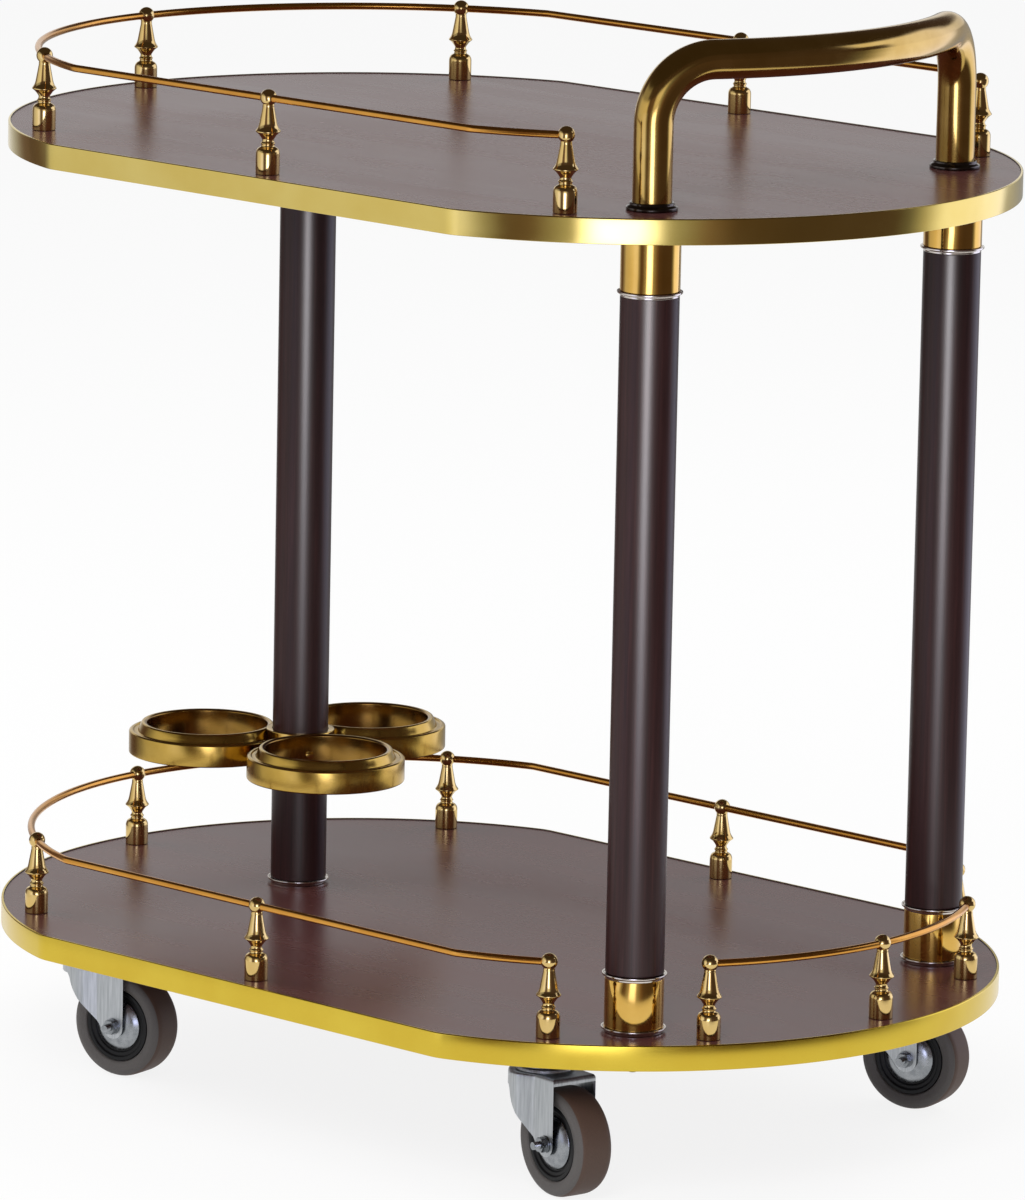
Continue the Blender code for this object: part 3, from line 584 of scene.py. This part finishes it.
def spindle():
    """The turned baluster: drum, domed shoulder, bead, neck, sharp flare, cone and ball.

    Rows are (radius, height, easing), and the ball is an arc of its radius over the neck.
    """
    ball = np.linspace(radians(-48), pi / 2, 16)
    body = eased([
        (0, 0), (0.0088, 0, 0.0003), (0.0088, 0.0160, 0.0016), (0.0076, 0.0186, 0.0012),
        (0.0050, 0.0200, 0.0006), (0.0047, 0.0214, 0.0005), (0.0056, 0.0222, 0.0006),
        (0.0044, 0.0236, 0.0006), (0.0042, 0.0252, 0.0008), (0.0066, 0.0288, 0.0020),
        (0.0092, 0.0308, 0.0003), (0.0092, 0.0314, 0.0003), (0.0070, 0.0345, 0.0030),
        (0.0043, 0.0490, 0.0006), (0.0043, 0.0505, 0.0004),
    ])
    top = np.stack([ball_radius * np.cos(ball), ball_height + ball_radius * np.sin(ball)], axis=-1)
    return lathe(np.concatenate([body, top]), sides=40)

def gallery_places():
    """Spindles of one gallery: name and (x, y)."""
    x = end_centre + rail_path * cos(end_spindles)
    y = rail_path * sin(end_spindles)
    side = half_width - rail_inset
    return {
        "near_right": (x, -y), "near_middle": (0, -side), "near_left": (-x, -y),
        "left": (-end_centre - rail_path, 0), "far_left": (-x, y), "far_middle": (0, side),
        "far_right": (x, y),
    }

def gallery_path():
    """The rail's plan line, from the near end spindle round the left end to the far one."""
    turn = shoulder_angle
    shoulder = shoulder_radius - rail_inset
    return np.concatenate([
        arc(end_centre, 0, rail_path, -end_spindles, -turn, 10),
        arc(shoulder_x, -shoulder_y, shoulder, -turn, -pi / 2, 6)[1:],
        arc(-shoulder_x, -shoulder_y, shoulder, 3 * pi / 2, pi + turn, 6),
        arc(-end_centre, 0, rail_path, pi + turn, pi - turn, 72)[1:],
        arc(-shoulder_x, shoulder_y, shoulder, pi - turn, pi / 2, 6)[1:],
        arc(shoulder_x, shoulder_y, shoulder, pi / 2, turn, 6),
        arc(end_centre, 0, rail_path, turn, end_spindles, 10)[1:],
    ])

def build_galleries():
    """A rail through the balls of seven spindles on each tray, and the front one through three."""
    up = (0, 0, 1)
    wire = round_section(rail_radius, sides=16)
    for tray, face in (("top", top_face), ("bottom", bottom_face)):
        path = raised(gallery_path(), face + ball_height)
        piece(tray + "_gallery_rail", sweep(path, up, wire), rail_gold, "cart_frame",
              "bright_brass", tray + "_rail")
        for name, (x, y) in gallery_places().items():
            piece(f"{tray}_baluster_{name}", moved(spindle(), at(x, y, face + seat)), pale_brass,
                  "cart_frame", "bright_brass", f"{tray}_spindle_{name}")
    path = raised(arc(end_centre, 0, rail_path, -front_spindles, front_spindles, 36),
                  bottom_face + ball_height)
    piece("front_gallery_rail", sweep(path, up, wire), rail_gold, "cart_frame", "bright_brass",
          "front_gallery")
    for name, turn in (("near", -front_spindles), ("middle", 0), ("far", front_spindles)):
        spot = at(end_centre + rail_path * cos(turn), rail_path * sin(turn), bottom_face + seat)
        piece(f"front_baluster_{name}", moved(spindle(), spot), pale_brass, "cart_frame",
              "bright_brass")

# Bottle holder

def cut(made, tool):
    """Take a tool's skin out of a piece for good."""
    helper = bpy.data.objects.new("cutter", mesh_of("cutter", [tool]))
    bpy.context.scene.collection.objects.link(helper)
    change = made.modifiers.new("cut", "BOOLEAN")
    change.operation = "DIFFERENCE"
    change.solver = "EXACT"
    change.object = helper
    result = bpy.data.meshes.new_from_object(
        made.evaluated_get(bpy.context.evaluated_depsgraph_get()))
    made.modifiers.remove(change)
    made.data = result
    bpy.data.objects.remove(helper)
    made.data.shade_smooth()
    made.data.set_sharp_from_angle(angle=sharp_edge)

def ring_profile():
    """The stepped ring: plain band, ledge with a groove, and a raised rounded lip."""
    return eased([
        (ring_bore, 0, 0.0006), (ring_outer, 0, 0.0010), (ring_outer, 0.0170, 0.0010),
        (0.0588, 0.0178, 0.0005), (0.0572, 0.0178, 0.0004), (0.0566, 0.0168, 0.0004),
        (0.0536, 0.0168, 0.0006), (0.0522, 0.0205, 0.0012), (0.0508, 0.0238, 0.0012),
        (0.0490, 0.0241, 0.0008), (ring_bore, 0.0232, 0.0008),
    ], closed=True)

def build_holder():
    """The collar with its clamp screw, and three turned rings cut back to the collar's round."""
    x, y = left_post
    collar = lathe(eased([(collar_inner, 0), (collar_outer, 0, 0.0006),
                          (collar_outer, collar_height, 0.0008), (collar_inner, collar_height)],
                         closed=True), sides=72, closed=True)
    knob = lathe(eased([(0, 0.024), (0.0020, 0.024), (0.0020, 0.0285), (0.0042, 0.0285, 0.0004),
                        (0.0042, 0.0322, 0.0008), (0, 0.0326)]), sides=32)
    piece("clamp_collar", moved(collar, at(x, y, holder_z)), bronze, "bottle_holder",
          "antique_brass", "holder_collar")
    piece("clamp_screw", moved(knob, laid(radians(30), x, y, holder_screws)), bronze,
          "bottle_holder", "antique_brass")
    screw = lathe(eased([(0, 0.0268), (0.0032, 0.0281), (0.0032, 0.0288, 0.0004), (0, 0.0294)]),
                  sides=24)
    room = collar_outer + seat
    low, high = -0.01, 0.04
    tool = moved(lathe([(0, low), (room, low), (room, high), (0, high)], sides=72),
                 at(x, y, holder_z))
    lip = 0.0012
    for name, direction in (("left", radians(210)), ("front", radians(-30)), ("back", radians(90))):
        spot = at(x + ring_reach * cos(direction), y + ring_reach * sin(direction), holder_z)
        shape = moved(lathe(ring_profile(), sides=96, closed=True), spot)
        ring = piece(name + "_stepped_ring", shape, antique, "bottle_holder", "antique_brass",
                     name + "_bottle_ring")
        out, _ = face_places(ring, spot)
        # The bore's faces take the darker brass: painted shade in the hollow
        paint(ring, bore_painted_shade, out < ring_bore + lip)
        cut(ring, tool)
        piece(name + "_ring_screw", moved(screw, laid(direction, x, y, holder_screws)), bronze,
              "bottle_holder", "antique_brass")

# Casters: parts are made round the kingpin, with z = 0 under the tray and +x along the trail

def fork_skin():
    """The pressed fork as a shell over (u, v).

    u goes round the plan: a round crown over the kingpin, sides that draw in to a crease, two
    straight legs and the rear lip. v goes from the crown's middle outwards, over a rounded edge
    and down to the lower edge, which follows the skirt, a curve, a straight slope and the round
    end of the leg.
    """
    crown_radius, crown_ease, back, lip = 0.0265, 0.004, 0.0375, 0.005
    shoulder, crease, crease_ease = 0.002, 0.0137, 0.001
    skirt_x, skirt_drop, leg_end = -0.006, 0.0225, 0.0095
    wall, edge, hair = 0.0022, 0.003, 1e-5

    turn = acos(shoulder / crown_radius)
    crown_y = crown_radius * sin(turn)
    crown_split, crown_end = radians(125), turn + 0.15
    front = np.concatenate([arc(0, 0, crown_radius, pi, crown_split, 14),
                            arc(0, 0, crown_radius, crown_split, crown_end, 22)[1:]])
    leg_start = crease + crease_ease
    drawn = eased([(shoulder - crown_ease, crown_y), (shoulder, crown_y, crown_ease),
                   (crease, fork_half, crease_ease), (leg_start, fork_half)], steps=8)[1:-1]
    leg_x = leg_start + (back - hair - leg_start) * np.sin(np.linspace(0, pi / 2, 26))
    leg = np.stack([leg_x, 0 * leg_x + fork_half], axis=-1)
    rear_y = np.linspace(fork_half, -fork_half, 16)
    rear = np.stack([0 * rear_y + back, rear_y], axis=-1)
    half_plan = np.concatenate([front, drawn, leg])
    plan = np.concatenate([half_plan, rear, half_plan[:0:-1] * [1, -1]])

    # The lower edge over x: the slope is the line from the skirt that touches the leg's round end
    skirt = np.array([skirt_x - trail, crown_z - skirt_drop - axle_z])
    tangent = atan2(skirt[1], skirt[0]) + acos(leg_end / np.hypot(*skirt))
    touch_x = trail + leg_end * cos(tangent)
    touch_z = axle_z + leg_end * sin(tangent)
    x = plan[:, 0]
    curve_x = [-crown_radius, -0.0105, -0.0082, -0.0068, -0.0045, -0.0010, 0.0030, touch_x]
    curve_z = [0.0775, 0.0775, 0.0745, 0.0705, 0.0660, 0.0610, 0.0560, touch_z + under_bottom]
    slope = np.interp(x, curve_x, curve_z) - under_bottom
    round_end = axle_z - np.sqrt(np.clip(leg_end ** 2 - (x - trail) ** 2, 0, None))
    low = np.where(x < touch_x, slope, round_end)
    low[x > back - hair / 2] = crown_z - lip
    middle = [0.004, 0.0]

    def shell(inset, top):
        """The outside or the inside of the pressing, as rows of v."""
        inner = plan - inset * plan / np.hypot(*plan.T)[:, None]
        way = inner / np.hypot(*inner.T)[:, None]
        rows = [raised(middle + (inner - middle) * share, top) for share in (0, 0.45, 0.8)]
        for step in np.linspace(0, pi / 2, 6):
            rows.append(raised(inner - edge * (1 - sin(step)) * way, top - edge * (1 - cos(step))))
        for share in np.linspace(0, 1, 9)[1:]:
            row = raised(inner, 0.0)
            row[:, 2] = top - edge + (low - top + edge) * share
            rows.append(row)
        return np.array(rows)

    return skin(np.concatenate([shell(0, crown_z), shell(wall, crown_z - wall)[::-1]]))

def thread(low, high):
    """A threaded end, turned from a zigzag of ridges and roots, one of each per pitch."""
    pitch, ridge = 0.0008, 0.00028
    step = np.arange(2 * int((high - low) / pitch) + 1)
    z = low + step * pitch / 2
    radius = thread_radius - ridge * (step % 2)
    return lathe(np.concatenate([[[0, low]], np.stack([radius, z], axis=-1), [[0, z[-1]]]]),
                 sides=24)

def hexagon(low, high):
    """A nut or bolt head: six flats with chamfered corners, over (height, turn).

    A flat is the line radius * cos(30 degrees) / cos(turn from its middle), and the two end rows
    are cut to a smaller circle.
    """
    chamfer, tip = 0.0006, 0.94
    turn = np.linspace(0, 2 * pi, 48, endpoint=False)
    flat = nut_radius * cos(pi / 6) / np.cos(turn % (pi / 3) - pi / 6)
    small = np.minimum(flat, nut_radius * tip)
    way = np.stack([np.cos(turn), np.sin(turn)], axis=-1)
    rows = [raised(way * reach[:, None], height) for reach, height in (
        (0 * flat, low), (small, low), (flat, low + chamfer), (flat, high - chamfer),
        (small, high), (0 * flat, high))]
    return skin(np.array(rows))

def build_plate(name, spot):
    """A square plate with round corners, turned race cup and kingpin, and four screw heads."""
    bevel, bevel_share, screw_reach = 0.0004, 0.99, 0.024
    inset = plate_half - plate_corner
    quarters = ((0, 1, 1), (1, -1, 1), (2, -1, -1), (3, 1, -1))
    plan = np.concatenate([arc(inset * x, inset * y, plate_corner, k * pi / 2, (k + 1) * pi / 2, 5)
                           for k, x, y in quarters])
    rows = [raised(plan * 0, -plate_thickness), raised(plan * bevel_share, -plate_thickness),
            raised(plan, bevel - plate_thickness), raised(plan, -seat), raised(plan * 0, -seat)]
    cup = lathe(eased([(0, -plate_thickness), (0.0235, -plate_thickness, 0.0012),
                       (0.0235, -0.0125, 0.0012), (0.0222, -0.0136, 0.0004), (0.0215, -0.0125),
                       (0.0215, -0.0095), (0, -0.0095)]), sides=56)
    pin = lathe(eased([(0, -0.0098), (kingpin_radius, -0.0098), (kingpin_radius, -0.0198),
                       (0.0085, -0.0198, 0.0004), (0.0085, -0.0222, 0.0012), (0, -0.0230)]),
                sides=32)
    piece(name + "_top_plate", [moved(part, spot) for part in (skin(np.array(rows)), cup, pin)],
          zinc, "cart_frame", "zinc", name + "_caster_plate")
    head = lathe(eased([(0, -0.0042), (0.0020, -0.0042), (0.0042, -0.0027), (0, -0.0027)]),
                 sides=24)
    for k, (x, y) in enumerate(((1, 1), (1, -1), (-1, 1), (-1, -1)), 1):
        piece(f"{name}_plate_screw_{k}", moved(head, spot @ at(screw_reach * x, screw_reach * y)),
              zinc, "cart_frame", "zinc")

def build_fork(name, swivel):
    """The pressing with its turned boss, and the ring of race balls on it."""
    bore = kingpin_radius + seat
    boss = lathe(eased([(bore, crown_z), (0.0212, crown_z), (0.0205, crown_z + 0.0022, 0.0008),
                        (0.0190, crown_z + 0.0029, 0.0006), (bore, crown_z + 0.0029)],
                       closed=True), sides=56, closed=True)
    inner, outer, low, high = 0.0182, 0.0206, crown_z + 0.0030, crown_z + 0.0062
    balls = lathe(eased([(inner, low), (outer, low), (outer, high), (inner, high)], closed=True),
                  sides=56, closed=True)
    piece(name + "_pressed_fork", [moved(fork_skin(), swivel), moved(boss, swivel)], zinc,
          name + "_caster", "zinc", name + "_fork")
    piece(name + "_race_balls", moved(balls, swivel), black_nickel, name + "_caster", "zinc")

def build_axle(name, hub):
    """Turned thread guards, and the bolt: shaft, head, washer, nut and threaded end."""
    leg = fork_half + seat
    guard = 0.01055
    dome = eased([(bolt_radius, 0.0163), (0.0080, 0.0161, 0.0020), (0.0155, 0.0143, 0.0034),
                  (0.0195, 0.0110, 0.0006), (0.0195, guard), (bolt_radius, guard)], closed=True)
    guards = [lathe(dome * [1, side], closed=True) for side in (1, -1)]
    piece(name + "_thread_guards", [moved(part, hub) for part in guards], bright_zinc,
          name + "_caster", "zinc", name + "_axle")
    end = leg + 0.001
    shaft = lathe([(0, -end), (bolt_radius, -end), (bolt_radius, end), (0, end)], sides=24)
    nut = leg + 0.0009
    washer = lathe([(washer_bore, leg), (0.0064, leg), (0.0064, nut), (washer_bore, nut)],
                   sides=32, closed=True)
    bolt = [shaft, washer, hexagon(nut, leg + 0.0050), thread(leg + 0.0048, leg + 0.0108),
            hexagon(-leg - 0.0040, -leg)]
    piece(name + "_axle_bolt", [moved(part, hub) for part in bolt], bright_zinc,
          name + "_caster", "zinc")

def build_wheel(name, hub):
    """The stepped rim and the tyre with grooved sides, both turned and alike on both sides."""
    half_rim = np.array([(0.0063, 0.0102), (0.0208, 0.0102), (0.0214, 0.0114), (0.0240, 0.0116),
                         (0.0248, 0.0130), (0.0277, 0.0130)])
    corners = np.concatenate([half_rim * [1, -1], half_rim[::-1]])
    rim_ease, tread_start = 0.0006, 0.0386
    rim = lathe(eased([(*corner, rim_ease) for corner in corners], closed=True), sides=72,
                closed=True)
    piece(name + "_wheel_rim", moved(rim, hub), nylon, name + "_wheel", "nylon", name + "_rim")
    half_tyre = eased([(0.0280, 0.0122), (0.0289, 0.0138, 0.0008), (0.0330, 0.0147, 0.0010),
                       (0.0352, 0.0146, 0.0008), (0.0385, 0.0131, 0.0016),
                       (0.0399, 0.0095, 0.0016), (wheel_radius, 0.0)])
    whole = np.concatenate([half_tyre, half_tyre[-2::-1] * [1, -1]])
    tyre = piece(name + "_rubber_tyre", moved(lathe(whole, sides=96, closed=True), hub), tyre_side,
                 name + "_wheel", "grey_rubber", name + "_tyre")
    out, _ = face_places(tyre, hub)
    paint(tyre, tread, out > tread_start)

def build_caster(name):
    """One caster, where its swivel is and trailing as its wheel's axle says."""
    x, y, _ = joints[name + "_swivel"]["pos_m"]
    axle_x, axle_y, _ = joints[name + "_roll"]["axis"]
    spot = at(x, y, under_bottom)
    swivel = spot @ Matrix.Rotation(atan2(-axle_x, axle_y), 4, "Z")
    hub = swivel @ Matrix.Translation((trail, 0, axle_z)) @ Matrix.Rotation(pi / 2, 4, "X")
    build_plate(name, spot)
    build_fork(name, swivel)
    build_axle(name, hub)
    build_wheel(name, hub)

def build_rods():
    """Rod ends under the bottom tray: washer, nut and threaded tail."""
    washer_radius, nut_top, nut_low = 0.009, -0.0015, -0.0065
    washer = lathe([(washer_bore, nut_top), (washer_radius, nut_top), (washer_radius, 0),
                    (washer_bore, 0)], sides=32, closed=True)
    end = [washer, hexagon(nut_low, nut_top), thread(-0.0119, nut_low + 0.0001)]
    for name, spot in posts.items():
        place = at(*spot, under_bottom - seat)
        piece(name + "_rod_nut", [moved(part, place) for part in end], zinc, "cart_frame",
              "zinc", name + "_tie_rod")

# Studio: a pale floor, a white surround, soft lamps, and flags that only gloss shows

floor_half = 40.0
floor_white = 0.86
room_light = 0.62

# Levels of the flags by direction: (share of a turn from -x by -y, level, tint). The low ones
# stand up to 1 m, the high ones to 1.8 m and the top ones to the ceiling
warm, plain, cool = (1.15, 0.80, 0.70), (1.0, 1.0, 1.0), (1.0, 1.03, 1.30)
low_flags = (
    (0.00, 0.11, warm), (0.02, 0.13, warm), (0.062, 0.42, plain), (0.085, 0.74, plain),
    (0.141, 0.86, plain), (0.18, 1.02, plain), (0.215, 1.20, cool), (0.242, 1.12, cool),
    (0.260, 0.44, plain), (0.279, 0.12, warm), (0.300, 0.15, warm), (0.324, 0.45, plain),
    (0.345, 0.70, plain), (0.385, 0.70, plain), (0.411, 0.40, plain), (0.433, 0.20, warm),
    (0.454, 0.10, warm), (0.50, 0.075, warm), (0.59, 0.08, warm), (0.606, 0.18, plain),
    (0.622, 0.60, plain), (0.643, 1.40, cool), (0.738, 1.45, cool), (0.752, 0.55, plain),
    (0.80, 0.37, plain), (0.87, 0.35, plain), (0.91, 0.95, plain), (0.952, 0.53, plain),
    (0.984, 0.15, warm))
high_flags = (
    (0.00, 0.12, warm), (0.06, 0.45, plain), (0.10, 0.85, plain), (0.235, 1.10, plain),
    (0.26, 0.14, warm), (0.32, 0.20, warm), (0.345, 1.1, plain), (0.385, 1.1, plain),
    (0.41, 0.30, plain), (0.45, 0.07, warm), (0.633, 0.07, warm), (0.645, 1.30, cool),
    (0.73, 1.30, cool), (0.76, 0.90, plain), (0.96, 0.90, plain), (0.99, 0.12, warm))
top_flags = (
    (0.06, 0.08, warm), (0.09, 0.45, plain), (0.20, 0.45, plain), (0.23, 0.08, warm),
    (0.598, 0.06, warm), (0.612, 1.30, cool), (0.73, 1.30, cool), (0.76, 0.06, warm))
ceiling = [(spot, 1.0, (0.055, 0.04, 0.03)) for spot in (0, 1)]
ring_level = (0.85, 0.85, 0.85, 1)
black, strip_white = (0, 0, 0), (1.0, 1.03, 1.5)

def seen_rays(tree):
    """1 for rays of the camera and of gloss and glass, 0 for those that light the cart."""
    rays = add(tree, "ShaderNodeLightPath").outputs
    seen = add(tree, "ShaderNodeMath", {0: rays["Is Camera Ray"], 1: rays["Is Glossy Ray"]},
               operation="MAXIMUM").outputs[0]
    return add(tree, "ShaderNodeMath", {0: seen, 1: rays["Is Transmission Ray"]},
               operation="MAXIMUM").outputs[0]

def build_studio():
    """The floor, which keeps the cart's shadow, and the world, white to the eye at any strength."""
    floor = bpy.data.objects.new("floor", bpy.data.meshes.new("floor"))
    corners = [(x * floor_half, y * floor_half, 0) for x, y in ((-1, -1), (1, -1), (1, 1), (-1, 1))]
    floor.data.from_pydata(corners, [], [(0, 1, 2, 3)])
    bpy.context.scene.collection.objects.link(floor)
    material, tree, shader, _ = blank("pale_floor")
    feed(tree, shader, {"Base Color": linear("#f4f4f4"), "Roughness": 0.9,
         "Specular IOR Level": 0.0})
    white = add(tree, "ShaderNodeEmission", {"Strength": 1.0}).outputs[0]
    share = add(tree, "ShaderNodeMath", {0: seen_rays(tree), 1: floor_white},
                operation="MULTIPLY").outputs[0]
    mixed = add(tree, "ShaderNodeMixShader", {0: share, 1: shader.outputs[0], 2: white})
    feed(tree, tree.nodes["Material Output"], {"Surface": mixed.outputs[0]})
    floor.data.materials.append(material)

    world = bpy.data.worlds.new("surround")
    bpy.context.scene.world = world
    world.use_nodes = True
    tree = world.node_tree
    strength = add(tree, "ShaderNodeMapRange", {"Value": seen_rays(tree), "To Min": room_light,
                   "To Max": 1.0})
    feed(tree, tree.nodes["Background"], {"Color": (1, 1, 1, 1),
         "Strength": strength.outputs["Result"]})

def flag_glow(tree, place):
    """What the flags send out, by the direction round the cart and the height.

    The ring on the floor is plain up to 1.05 m from the middle, and then goes over to the low
    flags by 1.11 m. Behind the camera, one bright strip is added, which fades out from 0.65 to
    0.95 m of height and grows with distance, so that the tray edges and posts mirror it alike.
    """
    parts = add(tree, "ShaderNodeSeparateXYZ", {"Vector": place}).outputs
    angle = add(tree, "ShaderNodeMath", {0: parts["Y"], 1: parts["X"]}, operation="ARCTAN2")
    share = add(tree, "ShaderNodeMapRange", {"Value": angle.outputs[0], "From Min": -pi,
                "From Max": pi}).outputs["Result"]
    away = add(tree, "ShaderNodeVectorMath", {0: place}, operation="LENGTH").outputs["Value"]
    glow = ring_level
    for measure, start, end, rows in ((away, 1.05, 1.11, low_flags),
                                      (parts["Z"], 0.95, 1.1, high_flags),
                                      (parts["Z"], 1.7, 1.95, top_flags),
                                      (parts["Z"], 2.6, 2.72, ceiling)):
        stops = [(spot, [level * t for t in tint]) for spot, level, tint in rows]
        beyond = add(tree, "ShaderNodeValToRGB", {"Fac": share}, stops).outputs["Color"]
        past = add(tree, "ShaderNodeMapRange", {"Value": measure, "From Min": start,
                   "From Max": end}).outputs["Result"]
        glow = add(tree, "ShaderNodeMixRGB", {"Fac": past, "Color1": glow,
                   "Color2": beyond}).outputs[0]

    strip = add(tree, "ShaderNodeValToRGB", {"Fac": share}, [
        (0.332, black), (0.350, strip_white), (0.380, strip_white), (0.400, black)])
    power = add(tree, "ShaderNodeMapRange", {"Value": away, "From Min": 1.1, "From Max": 3.4,
                "To Min": 1.4, "To Max": 4.0}).outputs["Result"]
    for measure, start, end, first, last in ((parts["Z"], 0.65, 0.95, 1.0, 0.0),
                                             (away, 1.05, 1.11, 0.0, 1.0)):
        factor = add(tree, "ShaderNodeMapRange", {"Value": measure, "From Min": start,
                     "From Max": end, "To Min": first, "To Max": last}).outputs["Result"]
        power = add(tree, "ShaderNodeMath", {0: power, 1: factor}, operation="MULTIPLY").outputs[0]
    shine = add(tree, "ShaderNodeVectorMath", {0: strip.outputs["Color"], "Scale": power},
                operation="SCALE").outputs[0]
    return add(tree, "ShaderNodeVectorMath", {0: glow, 1: shine}, operation="ADD").outputs[0]

def build_flags():
    """Studio flags that only gloss shows, turned round Z: a ring on the floor, a wall, a ceiling."""
    ring, wall, low = 0.98, 3.6, 0.003
    profile = [(ring, low), (2.2, low), (wall, low), (wall, 1.0), (wall, 2.6), (2.4, 2.9),
               (0.0, 3.05)]
    flags = bpy.data.objects.new("flags", mesh_of("flags", [lathe(profile, sides=180)]))
    bpy.context.scene.collection.objects.link(flags)
    material, tree, shader, place = blank("flags_and_gaps")
    tree.nodes.remove(shader)
    lit = add(tree, "ShaderNodeEmission", {"Color": flag_glow(tree, place), "Strength": 1.0})
    feed(tree, tree.nodes["Material Output"], {"Surface": lit.outputs[0]})
    flags.data.materials.append(material)
    for rays in ("camera", "diffuse", "shadow", "transmission"):
        setattr(flags, "visible_" + rays, False)

def lamp(name, place, target, size, power):
    """A soft lamp: its place and aim, its width and height in metres, and its power in watts."""
    data = bpy.data.lights.new(name, "AREA")
    data.shape = "RECTANGLE"
    data.size, data.size_y = size
    data.energy = power
    made = bpy.data.objects.new(name, data)
    made.location = place
    way = Vector(target) - Vector(place)
    made.rotation_euler = way.to_track_quat("-Z", "Y").to_euler()
    bpy.context.scene.collection.objects.link(made)
    return made

def build_lamps():
    """Three soft lamps that gloss doesn't show, and a tall one whose sheen is on the posts only."""
    for soft in (lamp("key", (1.6, -2.6, 2.6), (0, 0, 0.4), (1.6, 1.6), 60),
                 lamp("fill", (-2.8, -1.2, 2.2), (0, 0, 0.4), (2.0, 2.0), 40),
                 lamp("back", (0.5, 2.8, 2.4), (0, 0, 0.5), (2.4, 1.6), 35)):
        soft.visible_glossy = False
    sheen = lamp("sheen", (2.13, -2.39, 0.85), (0, 0, 0.85), (1.05, 2.3), 235)
    sheen.visible_diffuse = False
    lit = bpy.data.collections.new("posts")
    for name in posts:
        lit.objects.link(bpy.data.objects[name + "_wood_dowel"])
    sheen.light_linking.receiver_collection = lit

def build_camera():
    """A long lens at the photograph's angle, for a picture 1025 wide and 1200 high."""
    azimuth, elevation, roll = radians(43.303), radians(11.009), radians(1.1346)
    aim = Vector((0, 0, 0.4245))
    aside, above, distance = -0.0079, -0.04655, 6.7815
    forward = Vector((-sin(azimuth) * cos(elevation), cos(azimuth) * cos(elevation),
                      -sin(elevation)))
    right = Vector((cos(azimuth), sin(azimuth), 0))
    up = right.cross(forward)
    across = right * cos(roll) + up * sin(roll)
    upright = up * cos(roll) - right * sin(roll)
    place = aim - across * aside + upright * above - forward * distance
    data = bpy.data.cameras.new("camera")
    data.sensor_width = 36
    data.lens = 270.58
    data.clip_end = 200
    camera = bpy.data.objects.new("camera", data)
    turn = Matrix((across, upright, -forward)).transposed()
    camera.matrix_world = Matrix.Translation(place) @ turn.to_4x4()
    bpy.context.scene.collection.objects.link(camera)
    bpy.context.scene.camera = camera

build_tray("top", top_face, pale_band)
build_tray("bottom", bottom_face, gold_band)
build_posts()
build_handle()
build_galleries()
build_holder()
for caster in casters:
    build_caster(caster)
build_rods()
build_studio()
build_flags()
build_lamps()
build_camera()
bpy.context.scene.view_settings.view_transform = "Standard"
